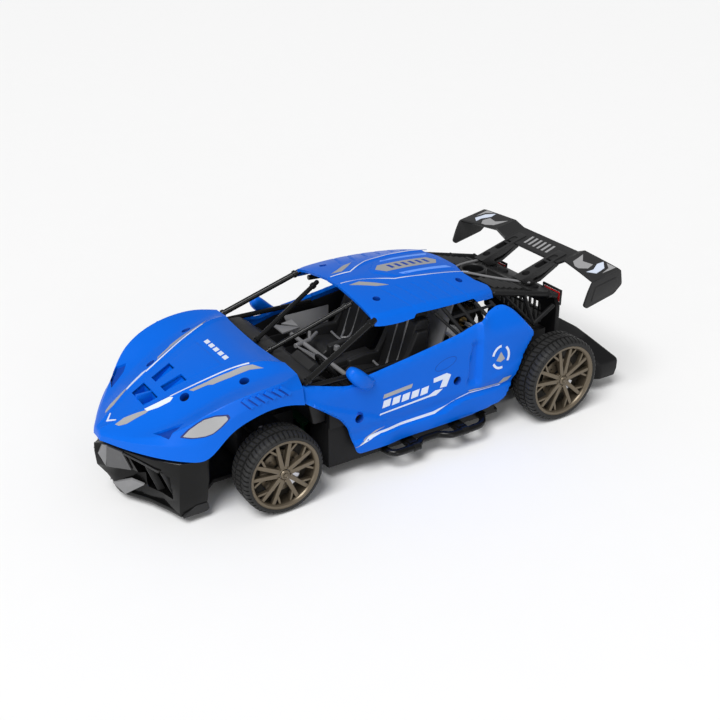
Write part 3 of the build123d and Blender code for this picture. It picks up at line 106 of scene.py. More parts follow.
MAT = {
    "blue": plastic("blue_plastic", (0.0, 0.112, 0.61), 0.33, grain=0.15, mottle=0.03, wear=0.12, shine=0.13),
    # Darker blue: painted shade in the screw wells and vent floors, and the louvres' painted shadows; also the door
    # handle line and the roof bars.
    "blue_dark": plastic("blue_painted_shade_and_lines", (0.0, 0.045, 0.33), 0.45, grain=0.15, shine=0.2),
    "navy": plastic("navy_line", (0.0, 0.012, 0.13), 0.4, grain=0.1),
    "silver": plastic("silver_foil", (0.34, 0.34, 0.345), 0.36, metal=0.15, grain=0.1, mottle=0.04),
    "white": plastic("white_ink", (0.62, 0.68, 0.80), 0.35, grain=0.05, mottle=0.02),
    "pale_blue": plastic("pale_blue_ink", (0.11, 0.31, 0.93), 0.38, grain=0.05, mottle=0.02),
    "black": plastic("black_plastic", (0.007, 0.007, 0.0075), 0.42, grain=0.4, wear=0.3, shine=0.14),
    "gloss": plastic("gloss_black", (0.003, 0.003, 0.003), 0.2, grain=0.1, mottle=0.1, wear=0.3, shine=0.22),
    "charcoal": plastic("charcoal_plastic", (0.018, 0.018, 0.0185), 0.4, grain=0.5, wear=0.3, shine=0.24),
    # Slate: painted light on the front bumper's facets.
    "slate": plastic("slate_painted_facet_light", (0.075, 0.075, 0.078), 0.42, grain=0.4),
    "grey": plastic("grey_plastic", (0.19, 0.19, 0.195), 0.4, grain=0.4),
    "rubber": plastic("tyre_rubber", (0.011, 0.011, 0.011), 0.55, grain=0.6, scale=700, mottle=0.2, wear=0.5,
                      shine=0.25),
    "bronze": plastic("bronze_rim", (0.135, 0.110, 0.078), 0.34, metal=0.7, grain=0.15, wear=0.3),
    "bronze_dark": plastic("bronze_shadow", (0.030, 0.026, 0.020), 0.5, metal=0.4, grain=0.2),
    "steel": plastic("bright_steel", (0.56, 0.56, 0.58), 0.25, metal=1.0, grain=0.2, mottle=0.04),
    "brass": plastic("turned_brass", (0.70, 0.48, 0.19), 0.3, metal=1.0, grain=0.2),
    "nylon": plastic("white_nylon", (0.76, 0.74, 0.68), 0.5, grain=0.2),
    "board": plastic("board_green", (0.01, 0.12, 0.04), 0.4, coat=0.2, grain=0.2),
    "sleeve": plastic("cell_sleeve", (0.02, 0.16, 0.07), 0.3, coat=0.2, grain=0.1),
    "red": plastic("red_lens", (0.55, 0.006, 0.008), 0.14, coat=0.6, grain=0.1),
}
SLOT = {
    "body_blue": "blue", "black_plastic": "black", "gloss_black": "gloss", "grey_plastic": "grey",
    "tyre_rubber": "rubber", "rim_bronze": "bronze", "steel": "steel", "brass": "brass",
    "nylon_white": "nylon", "lamp_red": "red", "cell_wrap": "sleeve", "board_green": "board",
}


# ---------------------------------------------------------------- curves and small sums
def mixed(a, b, t):
    """Point between a and b."""
    return tuple(p + (q - p) * t for p, q in zip(a, b))


def angles(count):
    """Angles of a full turn in equal steps."""
    return [2 * PI * k / count for k in range(count)]


def ramp(low, high, value):
    """Smooth step from 0 at low to 1 at high."""
    t = max(0.0, min(1.0, (value - low) / (high - low)))
    return t * t * (3 - 2 * t)


def curve_through(points, steps, closed=False):
    """Catmull-Rom curve through points of any dimension."""
    count = len(points)
    spans = count if closed else count - 1

    def point(i):
        if closed:
            return points[i % count]
        if i < 0:
            return tuple(2 * a - b for a, b in zip(points[0], points[1]))
        if i >= count:
            return tuple(2 * a - b for a, b in zip(points[-1], points[-2]))
        return points[i]

    result = []
    for i in range(spans):
        near = [point(i + k) for k in (-1, 0, 1, 2)]
        for step in range(steps):
            t = step / steps
            result.append(tuple(
                0.5 * (2 * b + (c - a) * t + (2 * a - 5 * b + 4 * c - d) * t * t + (3 * b - a - 3 * c + d) * t**3)
                for a, b, c, d in zip(*near)
            ))
    if not closed:
        result.append(tuple(points[-1]))
    return result


def rounded(outline, radius, steps=4):
    """Closed 2-D outline with its corners rounded."""
    result = []
    count = len(outline)
    for i in range(count):
        corner = Vector(outline[i])
        before, after = Vector(outline[i - 1]) - corner, Vector(outline[(i + 1) % count]) - corner
        reach = min(radius, before.length * 0.45, after.length * 0.45)
        a, b = corner + before.normalized() * reach, corner + after.normalized() * reach
        for step in range(steps + 1):
            t = step / steps
            result.append(tuple(a * (1 - t) ** 2 + corner * 2 * t * (1 - t) + b * t * t))
    return result


def line_side(p, a, b):
    """Signed distance of a 2-D point from the line a to b, positive on the left."""
    dx, dy = b[0] - a[0], b[1] - a[1]
    return ((p[1] - a[1]) * dx - (p[0] - a[0]) * dy) / math.hypot(dx, dy)


def inside(point, outline):
    """Is a 2-D point inside the outline?"""
    found = False
    for (x0, y0), (x1, y1) in zip(outline, outline[1:] + outline[:1]):
        if (y0 > point[1]) != (y1 > point[1]) and point[0] < (x1 - x0) * (point[1] - y0) / (y1 - y0) + x0:
            found = not found
    return found


def widened(outline, factor):
    """2-D outline scaled about the mean of its corners."""
    middle = Vector([sum(p[k] for p in outline) / len(outline) for k in (0, 1)])
    return [tuple(middle + (Vector(p) - middle) * factor) for p in outline]


def flip(points):
    """The same points on the car's right side."""
    return [(p[0], -p[1], *p[2:]) for p in points]


# ---------------------------------------------------------------- mesh building
def as_mesh(bm, bevel=0.0, segments=2, angle=30):
    """Mesh from a bmesh, with its sharp edges bevelled."""
    bmesh.ops.recalc_face_normals(bm, faces=bm.faces)
    if bevel:
        limit = math.radians(angle)
        sharp = [e for e in bm.edges if len(e.link_faces) == 2 and e.calc_face_angle(0) > limit]
        bmesh.ops.bevel(bm, geom=sharp, offset=bevel, segments=segments, profile=0.6, affect="EDGES",
                        clamp_overlap=True)
    mesh = bpy.data.meshes.new("work")
    bm.to_mesh(mesh)
    bm.free()
    return mesh


def from_lists(verts, faces, **bevel):
    mesh = bpy.data.meshes.new("work")
    mesh.from_pydata([tuple(v) for v in verts], [], faces)
    bm = bmesh.new()
    bm.from_mesh(mesh)
    bpy.data.meshes.remove(mesh)
    return as_mesh(bm, **bevel)


def stack(loops, closed_ends=True, ring=False, **bevel):
    """Skin over closed loops with the same number of points. A ring joins its last loop to the first."""
    size = len(loops[0])
    verts = [v for loop in loops for v in loop]
    faces = []
    for k in range(len(loops) if ring else len(loops) - 1):
        a, b = k * size, (k + 1) % len(loops) * size
        faces += [(a + i, a + (i + 1) % size, b + (i + 1) % size, b + i) for i in range(size)]
    if closed_ends and not ring:
        faces += [tuple(range(size)), tuple(reversed(range((len(loops) - 1) * size, len(loops) * size)))]
    return from_lists(verts, faces, **bevel)


PLANES = {"x": lambda u, v, w: (w, u, v), "y": lambda u, v, w: (u, w, v), "z": lambda u, v, w: (u, v, w)}


def prism(outline, axis, low, high, **bevel):
    """Outline given a thickness along an axis."""
    return stack([[PLANES[axis](u, v, w) for u, v in outline] for w in (low, high)], **bevel)


def box(x0, x1, y0, y1, z0, z1, bevel=0.4, segments=2):
    outline = [(x0, y0), (x1, y0), (x1, y1), (x0, y1)]
    return prism(outline, "z", z0, z1, bevel=bevel, segments=segments)


def turned(profile, centre, segments=64):
    """Closed outline of radius and Y, turned about the Y axis through a point in X and Z."""
    loops = []
    for a in angles(segments):
        loops.append([(centre[0] + r * math.cos(a), y, centre[1] + r * math.sin(a)) for r, y in profile])
    return stack(loops, ring=True)


def tube(points, radius, sides=14, smooth_steps=0, ends=0.5, closed=False):
    """Round bar along points, with slightly rounded ends."""
    if smooth_steps:
        points = curve_through(points, smooth_steps, closed)
    path = [Vector(p) for p in points]
    count = len(path)
    loops = []
    across = None
    for i, p in enumerate(path):
        if closed:
            along = (path[(i + 1) % count] - path[i - 1]).normalized()
        else:
            along = (path[min(i + 1, count - 1)] - path[max(i - 1, 0)]).normalized()
        if across is None:
            across = along.orthogonal().normalized()
        across = (across - along * across.dot(along)).normalized()
        other = along.cross(across)
        scale = 1.0
        if 0 < i < count - 1 or closed:
            before, after = (path[i] - path[i - 1]).normalized(), (path[(i + 1) % count] - path[i]).normalized()
            scale = 1 / max(0.6, math.cos(before.angle(after, 0) / 2))
        rings = [(0.0, scale)]
        if not closed and i == 0:
            rings = [(0.0, 1 - ends), (radius * ends, 1.0)]
        if not closed and i == count - 1:
            rings = [(-radius * ends, 1.0), (0.0, 1 - ends)]
        for shift, grow in rings:
            ring = [across * math.cos(a) + other * math.sin(a) for a in angles(sides)]
            loops.append([p + along * shift + way * radius * grow for way in ring])
    return stack(loops, ring=closed)


def rod(a, b, radius, sides=20):
    return tube([a, b], radius, sides=sides, ends=0.15)


def moved(mesh, matrix):
    mesh.transform(matrix)
    if matrix.determinant() < 0:
        mesh.flip_normals()
    return mesh


def other_side(mesh):
    """Mirrored copy on the car's right side."""
    return moved(mesh.copy(), Matrix.Diagonal((1, -1, 1, 1)))


def both(mesh):
    return [mesh, other_side(mesh)]


def on_both_sides(meshes):
    return [mesh for one in meshes for mesh in both(one)]


def joined(meshes):
    """One mesh of several. Material numbers are kept."""
    bm = bmesh.new()
    for mesh in meshes:
        bm.from_mesh(mesh)
    result = bpy.data.meshes.new("work")
    bm.to_mesh(result)
    bm.free()
    return result


def evaluated(mesh, *modifiers):
    """The mesh after Blender modifiers, each given as its type and its settings."""
    work = bpy.data.objects.new("work", mesh)
    bpy.context.scene.collection.objects.link(work)
    for kind, settings in modifiers:
        modifier = work.modifiers.new(kind.lower(), kind)
        for key, value in settings.items():
            setattr(modifier, key, value)
    graph = bpy.context.evaluated_depsgraph_get()
    result = bpy.data.meshes.new_from_object(work.evaluated_get(graph))
    bpy.data.objects.remove(work)
    return result


def cut(mesh, cutters):
    """The mesh less the cutters' volume."""
    tool = bpy.data.objects.new("cutter", joined(cutters))
    bpy.context.scene.collection.objects.link(tool)
    result = evaluated(mesh, ("BOOLEAN", {"operation": "DIFFERENCE", "solver": "MANIFOLD", "object": tool}))
    bpy.data.objects.remove(tool)
    return result


def piece(name, body, parts, replaces=(), angle=32):
    """Object from meshes given as (material, mesh), riding on a body."""
    bm = bmesh.new()
    names = []
    for material, mesh in parts:
        if material not in names:
            names.append(material)
        start = len(bm.faces)
        bm.from_mesh(mesh)
        bm.faces.ensure_lookup_table()
        for face in bm.faces[start:]:
            face.material_index = names.index(material)
    for face in bm.faces:
        face.smooth = True
    limit = math.radians(angle)
    for edge in bm.edges:
        edge.smooth = len(edge.link_faces) == 2 and edge.calc_face_angle(0) < limit
    bmesh.ops.scale(bm, vec=(MM, MM, MM), verts=bm.verts)
    mesh = bpy.data.meshes.new(name)
    bm.to_mesh(mesh)
    bm.free()
    for material in names:
        mesh.materials.append(MAT[material])
    made = bpy.data.objects.new(name, mesh)
    bpy.context.scene.collection.objects.link(made)
    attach(made, body)
    if replaces:
        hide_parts(*replaces)


def restyled(node, body, material, bevel=0.35, extra=()):
    """The CAD node's own shape with softened edges."""
    bm = bmesh.new()
    bm.from_mesh(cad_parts[node].data)
    bmesh.ops.scale(bm, vec=(1 / MM,) * 3, verts=bm.verts)
    bmesh.ops.remove_doubles(bm, verts=bm.verts, dist=0.005)
    bmesh.ops.dissolve_limit(bm, angle_limit=math.radians(1), verts=bm.verts, edges=bm.edges)
    piece(node + "_look", body, [(material, as_mesh(bm, bevel=bevel)), *extra], replaces=[node])


# ---------------------------------------------------------------- surfaces and what lies on them
def smooth_sheet(rows, creases, levels=3):
    """Subdivided open sheet. rows run front to rear, each from the car's right to its left."""
    wide = len(rows[0])
    faces = []
    for i in range(len(rows) - 1):
        faces += [(i * wide + j, i * wide + j + 1, (i + 1) * wide + j + 1, (i + 1) * wide + j) for j in range(wide - 1)]
    mesh = bpy.data.meshes.new("work")
    mesh.from_pydata([v for row in rows for v in row], [], faces)
    bm = bmesh.new()
    bm.from_mesh(mesh)
    layer = bm.edges.layers.float.new("crease_edge")
    bm.verts.ensure_lookup_table()
    for edge in bm.edges:
        a, b = (v.index for v in edge.verts)
        if a % wide == b % wide and a % wide in creases:
            edge[layer] = creases[a % wide]
    bm.to_mesh(mesh)
    bm.free()
    settings = {"levels": levels, "render_levels": levels, "boundary_smooth": "PRESERVE_CORNERS"}
    return evaluated(mesh, ("SUBSURF", settings))


def half_rows(table, creases):
    """Rows and creases across the whole car from a table of left halves."""
    last = len(table[0][1]) - 1
    rows = [[(x, -y, z) for y, z in reversed(half[1:])] + [(x, y, z) for y, z in half] for x, half in table]
    whole = {}
    for column, weight in creases.items():
        whole[last + column] = weight
        whole[last - column] = weight
    return rows, whole


def solidified(mesh, wall):
    return evaluated(mesh, ("SOLIDIFY", {"thickness": wall, "offset": -1.0, "use_even_offset": False}))


def thickened(mesh, wall):
    """Solid skin, with its given surface outside."""
    bm = bmesh.new()
    bm.from_mesh(mesh)
    bmesh.ops.recalc_face_normals(bm, faces=bm.faces)
    top = max(bm.faces, key=lambda f: f.calc_center_median().z)
    if top.normal.z < 0:
        bmesh.ops.reverse_faces(bm, faces=bm.faces)
    bm.to_mesh(mesh)
    bm.free()
    return solidified(mesh, wall)


def split(bm, axis, value):
    """New edges where a plane across an axis number meets the mesh."""
    spot, way = [0, 0, 0], [0, 0, 0]
    spot[axis], way[axis] = value, 1
    bmesh.ops.bisect_plane(bm, geom=bm.verts[:] + bm.edges[:] + bm.faces[:], plane_co=spot, plane_no=way)


class Draper:
    """Lays thin shapes on a surface, looking along one axis from outside."""

    def __init__(self, mesh, axis, sign=1):
        bm = bmesh.new()
        bm.from_mesh(mesh)
        self.tree = BVHTree.FromBMesh(bm)
        bm.free()
        self.axis, self.sign = axis, sign

    def on(self, u, v, lift=0.0):
        """Point on the surface below (u, v), raised along its normal."""
        far = 200.0 * self.sign
        start = Vector(PLANES[self.axis](u, v, far))
        way = Vector(PLANES[self.axis](0, 0, -self.sign))
        spot, normal, _, _ = self.tree.ray_cast(start, way)
        if spot is None:
            spot, normal, _, _ = self.tree.find_nearest(Vector(PLANES[self.axis](u, v, 60 * self.sign)))
        if normal.dot(way) > 0:
            normal = -normal
        return spot + normal * lift, normal

    def lay(self, outline, lift=0.12, sink=0.25, step=1.5):
        """Closed thin shape with this outline."""
        bm = bmesh.new()
        bm.faces.new([bm.verts.new((u, v, 0)) for u, v in outline])
        for k in (0, 1):
            low, high = min(p[k] for p in outline), max(p[k] for p in outline)
            cuts = max(1, int((high - low) / step))
            for i in range(1, cuts):
                split(bm, k, low + (high - low) * i / cuts)
        bmesh.ops.triangulate(bm, faces=[f for f in bm.faces if len(f.verts) > 4])
        flat = [v.co.copy() for v in bm.verts]
        bm.verts.index_update()
        faces = [[v.index for v in f.verts] for f in bm.faces]
        rim = [(e.verts[0].index, e.verts[1].index) for e in bm.edges if e.is_boundary]
        bm.free()
        top, low = [], []
        for p in flat:
            spot, normal = self.on(p.x, p.y)
            top.append(spot + normal * lift)
            low.append(spot - normal * sink)
        size = len(flat)
        faces += [[i + size for i in reversed(f)] for f in faces]
        faces += [(a, b, b + size, a + size) for a, b in rim]
        return from_lists(top + low, faces)

    def strip(self, points, width, **lay):
        """Thin line of some width through 2-D points."""
        left, right = [], []
        for i, p in enumerate(points):
            a, b = Vector(points[max(i - 1, 0)][:2]), Vector(points[min(i + 1, len(points) - 1)][:2])
            side = (b - a).normalized().orthogonal() * width / 2
            left.append((p[0] + side.x, p[1] + side.y))
            right.append((p[0] - side.x, p[1] - side.y))
        return self.lay(left + right[::-1], **lay)


def well(centre, along, radius, depth, wall=0.7):
    """Cup sunk into a panel: a tube with a floor. along points out of the panel."""
    along = Vector(along).normalized()
    top, across = Vector(centre), along.orthogonal().normalized()
    other = along.cross(across)
    profile = [(radius, 0.0), (radius - 0.25, -0.5), (radius - 0.3, -depth), (0.01, -depth), (0.01, -depth - wall)]
    profile += [(radius + wall, -depth - wall), (radius + wall, -0.9)]
    loops = []
    for a in angles(28):
        way = across * math.cos(a) + other * math.sin(a)
        loops.append([top + way * r + along * h for r, h in profile])
    return stack(loops, ring=True)


def screw(centre, along, radius=1.7):
    """Cross-head screw: domed head with a recessed cross."""
    along = Vector(along).normalized()
    across = along.orthogonal().normalized()
    other = along.cross(across)
    top = Vector(centre)
    ways = [across * math.cos(a) + other * math.sin(a) for a in angles(24)]
    profile = ((1.0, -0.9), (1.0, -0.25), (0.86, 0.0), (0.45, 0.12))
    head = stack([[top + way * radius * shrink + along * height for way in ways] for shrink, height in profile])
    turn = Matrix((across, other, along)).transposed().to_4x4()
    turn.translation = top
    arm = box(-0.75 * radius / 1.7, 0.75 * radius / 1.7, -0.2, 0.2, -0.35, 0.4, bevel=0)
    arms = [moved(arm, turn), moved(box(-0.2, 0.2, -0.75, 0.75, -0.35, 0.4, bevel=0), turn)]
    return cut(head, arms)


def sunk_screws(drape, spots, radius, depth, reach, sink, head=1.7):
    """Wells, the cutters that open them, and the screws at their bottom."""
    cups, cutters, screws = [], [], []
    for u, v in spots:
        spot, normal = drape.on(u, v)
        cups.append(well(spot + normal * 0.1, normal, radius, depth))
        cutters.append(rod(spot - normal * reach, spot + normal * reach, radius - 0.05, sides=28))
        screws.append(screw(spot - normal * sink, normal, head))
    return cups, cutters, screws


# ---------------------------------------------------------------- hood
# x, then (y, z) of the left half: centre, ridge foot, ridge, flank, valley, fender crown, shoulder, lip.
HOOD = [
    (141.9, [(0, 34.5), (0.9, 34.5), (1.5, 34.5), (2.1, 34.4), (2.8, 34.4), (3.4, 34.4), (3.9, 34.4), (4.2, 34.3)]),
    (141.6, [(0, 38.6), (1.0, 38.6), (1.6, 38.5), (2.2, 38.4), (2.9, 38.1), (3.6, 37.7), (4.2, 37.0), (4.6, 34.4)]),
    (139.0, [(0, 39.6), (1.4, 39.6), (2.2, 39.9), (4, 39.5), (6, 39.0), (7.8, 38.3), (9.2, 37.3), (9.7, 34.3)]),
    (134.0, [(0, 41.8), (3.2, 41.7), (4.3, 42.5), (8, 41.5), (12, 40.5), (16, 39.4), (19.0, 38.2), (19.7, 34.1)]),
    (124.0, [(0, 46.6), (8.2, 46.4), (9.8, 47.2), (15, 45.3), (24, 43.1), (30, 42.4), (34.0, 40.6), (34.8, 34)]),
    (114.0, [(0, 51.3), (11.6, 50.6), (13.4, 51.4), (19, 49.0), (28.6, 46.6), (41.2, 50.6), (43.4, 41.6), (44, 33.9)]),
    (107.0, [(0, 54.3), (13.8, 53.6), (15.6, 54.4), (22, 52.2), (31, 49.8), (44.4, 55.9), (47.4, 44.2), (48, 34)]),
    (98.0, [(0, 58.0), (16.2, 57.0), (18.0, 57.9), (26, 56.0), (33, 54.3), (46.8, 59.7), (49.2, 53.0), (49.8, 46.4)]),
    (88.0, [(0, 61.4), (19.2, 60.8), (21.0, 61.8), (28, 59.4), (34.5, 57.9), (48.2, 62.2), (49.5, 56.2), (50, 50.3)]),
    (78.0, [(0, 63.6), (21.8, 63.6), (23.8, 64.9), (30, 61.6), (36, 60.4), (48.8, 63.2), (49.7, 58.0), (50, 52.7)]),
    (68.0, [(0, 63.2), (24.8, 65.0), (27.4, 66.0), (32, 63.7), (37, 62.4), (48.2, 63.3), (49.4, 58.6), (49.9, 52.6)]),
    (58.8, [(0, 60.5), (27.6, 62.6), (31, 63.5), (35, 63.2), (39, 63.0), (42.6, 62.7), (48, 57.8), (49.6, 49.6)]),
]
SCREWS = []
HOOD_SCREWS = [(105.3, 20.1), (80.6, 32.3)]
SKIN = 1.5
# in X and Z, on the facet outside the fender crown
HEADLIGHT = [(115.6, 46.0), (112.8, 49.6), (109.6, 52.4), (106.8, 54.2), (102.4, 55.2), (97.7, 55.0), (97.2, 53.5),
             (101.2, 50.2), (104.4, 47.9), (107.5, 46.8), (112.0, 46.0)]
FENDER_VENT = [(124.1, 25.7), (120.5, 27.8), (115.4, 31.0), (112.3, 34.8), (116.6, 36.6), (120.4, 35.2), (122.2, 32.0)]
# upper and lower end of each, in X and Z
LOUVRES = [((89.4, 60.6), (85.5, 56.3)), ((86.0, 61.0), (81.9, 57.0)), ((82.5, 61.4), (78.3, 57.5)),
           ((78.7, 61.7), (74.1, 57.8)), ((74.6, 61.8), (69.8, 57.8)), ((70.8, 61.8), (66.2, 57.5))]


def hood_relief(x, y):
    """How far the hood's moulded details stand above its smooth surface."""
    y = abs(y)
    height = 0.0
    if abs(x - 82.9) < 0.55 and y < 14.5:
        height -= 0.22
    if abs(line_side((x, y), (82.9, 14.5), (98.5, 10.5))) < 0.5 and 82.9 < x < 98.5:
        height -= 0.15
    return height


def hood_skin():
    rows, creases = half_rows(HOOD, {1: 0.45, 2: 0.8, 4: 0.3, 5: 0.62, 6: 0.85, 7: 1.0})
    mesh = smooth_sheet(rows, creases, levels=4)
    for vert in mesh.vertices:
        vert.co.z += hood_relief(vert.co.x, vert.co.y)
    return mesh


def tapered_pocket(front, rear, floor_front, floor_rear, wall=0.8):
    """Pocket with a sloping floor between two cross edges, given as (x, y0, y1, z of the panel)."""
    def corners(edge, drop, grow=0.0):
        x, y0, y1, z = edge
        return [(x, y0 - grow, z - drop), (x, y1 + grow, z - drop)]

    def solid(grow, top, extra):
        (xf, *f), (xr, *r) = front, rear
        wide_front, wide_rear = (xf + grow, *f), (xr - grow, *r)
        up = corners(wide_front, -top, grow) + corners(wide_rear, -top, grow)[::-1]
        down = corners(wide_front, floor_front + extra, grow)
        return stack([up, down + corners(wide_rear, floor_rear + extra, grow)[::-1]])

    return solid(0.0, 3.0, 0.0), solid(wall, -0.6, wall)


def hood():
    outer = hood_skin()
    drape = Draper(outer, "z")
    spots = [(x, side * y) for x, y in HOOD_SCREWS for side in (1, -1)]
    cups, cutters, screws = sunk_screws(drape, spots, 2.3, 4.6, reach=7, sink=3.2)
    z_at = lambda x, y: drape.on(x, y)[0].z
    front, rear = (120.6, -7.2, 7.2, z_at(120.6, 0)), (113.6, -8.6, 8.6, z_at(113.6, 0))
    pockets = [tapered_pocket(front, rear, 3.2, 6.0)]
    for side in (1, -1):
        near = sorted((side * 2.6, side * 8.2))
        far = sorted((side * 3.6, side * 10.4))
        pockets.append(tapered_pocket((109.9, *near, z_at(109.9, 5)), (99.4, *far, z_at(99.4, 7)), 4.4, 2.6))
    for open_part, outside in pockets:
        cutters.append(open_part)
        cups.append(cut(outside, [open_part.copy()]))
    blade = box(109.8, 121.2, -0.8, 0.8, 43.5, 50.2, bevel=0.3)
    floors = []
    for mirror in (list, flip):
        outline = mirror(FENDER_VENT)
        cutters.append(prism(outline, "z", 38, 60))
        floors.append(drape.lay(widened(outline, 1.1), lift=-1.15, sink=1.9, step=2.0))
    shell = cut(thickened(outer, SKIN), cutters)
    # The four screw wells and the vent floors take the darker blue: painted shade inside these recesses.
    parts = [("blue", shell), ("blue_dark", joined(cups[:4])), ("blue", joined(cups[4:])), ("blue", blade)]
    piece("hood_look", "chassis", [*parts, ("blue_dark", joined(floors))], ["hood_shell"], angle=28)
    SCREWS.extend(screws)
    bars, shadows = [], []
    flank = Draper(outer, "y")
    for a, b in LOUVRES:
        bars += both(flank.strip([a, mixed(a, b, 0.5), b], 1.5, lift=0.7, sink=0.4, step=0.8))
        # Beside each louvre lies a darker blue strip: its painted shadow.
        low = [(p[0] + 1.0, p[1] - 0.6) for p in (a, mixed(a, b, 0.5), b)]
        shadows += both(flank.strip(low, 0.7, lift=0.06, step=0.8))
    piece("hood_louvres", "chassis", [("blue", joined(bars)), ("blue_dark", joined(shadows))], angle=50)
    hood_markings(drape, flank)


def hood_markings(drape, flank):
    silver = [
        [(134.6, 6.2), (130.2, 6.9), (124.6, 9.9), (119.6, 13.1), (121.8, 13.2), (125.5, 12.0), (130.6, 10.6),
         (133.6, 8.4)],
        [(102.2, 18.6), (94.1, 21.1), (91.4, 21.6), (83.9, 23.9), (77.2, 25.2), (73.4, 26.8), (69.8, 31.0),
         (75.8, 28.3), (84.7, 26.6), (92.7, 24.4), (94.6, 22.8), (101.0, 20.6)],
    ]
    white = [(121.6, 10.9), (117.1, 12.5), (110.4, 14.6), (109.2, 16.2), (111.2, 16.9), (116.5, 15.2), (121.0, 12.9)]
    chevron = [(136.6, 0), (133.2, 3.9), (132.8, 3.4), (135.4, 0), (132.8, -3.4), (133.2, -3.9)]
    ridge = [(110.0, 14.6), (105.4, 15.9), (98.1, 18.1), (90.6, 20.4), (82.0, 22.8), (74.3, 25.4)]
    plates, inks = [], []
    for mirror in (list, flip):
        plates += [drape.lay(mirror(shape)) for shape in silver]
        inks.append(drape.lay(mirror(white), lift=0.14))
        inks.append(drape.strip(mirror(ridge), 0.75, lift=0.16))
    lamp = rounded(HEADLIGHT, 0.5, 3)
    plates += both(flank.lay(lamp, lift=0.22, step=1.1))
    outlines = both(flank.lay(widened(lamp, 1.12), lift=0.1, step=1.1))
    inks.append(drape.lay(chevron, lift=0.2, step=0.8))
    for start in (-11.5, -6.5, -1.5, 3.5, 8.5):
        inks.append(drape.lay([(78.2, start), (80.6, start + 0.5), (80.6, start + 4.0), (78.2, start + 3.5)], step=0.9))
    piece("hood_silver_markings", "chassis", [("silver", joined(plates))])
    piece("hood_white_markings", "chassis", [("white", joined(inks))])
    piece("headlight_outlines", "chassis", [("navy", joined(outlines))])


# ---------------------------------------------------------------- side panels
SIDE_TOP = [(58.4, 57.4), (50, 55.2), (40, 52.6), (34, 51.2), (29, 51.6), (24, 53.6), (0, 56.8), (-23, 60.2),
            (-33, 61.9), (-41, 64.3), (-51, 68.0), (-57, 69.5), (-61.6, 69.2), (-66, 66.4), (-77.4, 53.0)]
SIDE_REAR = [(-77.6, 51.0), (-71.6, 41.5), (-68.0, 32), (-64.6, 24), (-62, 18.4), (-57.4, 16.2)]
SIDE_BOTTOM = [(-42, 14.2), (-20, 13.7), (17, 13.5), (30.5, 14.0)]
SIDE_ARCH = [(32.6, 20.6), (35.6, 29.6), (39.8, 35.6), (50.3, 43.8), (56.5, 48.4), (58.4, 49.6)]
SIDE_SCREWS = [(29.7, 33.7), (-29.6, 36.8)]
# the oval line of the door handle, in X and Z
HANDLE_AT, HANDLE_SIZE, HANDLE_TILT = (-22.0, 48.4), (6.6, 2.7), math.radians(-14)
SIDE_WALL = 1.9
SIDE_GRID = 1.25
SIDE_ROUNDING = 1.3


def side_y(x, z):
    """Distance of the side's outer face from the centre plane."""
    crease = 50.2 + (16.7 - x) * 0.104
    y = 48.6
    y -= 0.085 * max(0.0, z - crease) ** 1.45 * (1 - ramp(-36, -46, x))
    y -= 0.9 * ramp(crease - 1, crease - 15, z) * ramp(24, 19, z - 6) * ramp(56, 30, x)
    sill = 20.4 + 4.0 * ramp(-18, -34, x) + 0.04 * max(0.0, -30 - x)
    y += 1.5 * ramp(sill + 1.4, sill - 0.4, z) * ramp(38, 28, x)
    y += 0.4 * ramp(sill + 9, sill + 1.2, z) * ramp(44, 20, x)
    # rear flank: stands out behind the air intake, and rolls in at the haunch
    flank = ramp(-41.2, -44.8, x)
    y += 2.1 * flank * ramp(26, 34, z)
    y -= 0.030 * max(0.0, z - 54.5) ** 2 * ramp(-38, -52, x)
    intake = ramp(-37.2, -38.2, x + 0.09 * (z - 44)) * (1 - flank) * ramp(31, 34, z) * ramp(56.5, 53.5, z)
    y -= 1.5 * intake
    # crease running up and back over the rear flank
    slope = line_side((x, z), (-67, 38.4), (-38, 29.0))
    y -= 0.6 * ramp(0.0, -0.7, -slope) * flank * ramp(26, 29, z) * 0.5
    # front of the door
    swoop = line_side((x, z), (58, 49.6), (6, 25.0))
    y += 1.5 * ramp(-1.0, 1.0, swoop) * ramp(2, 16, x)
    return min(y, 50.9)


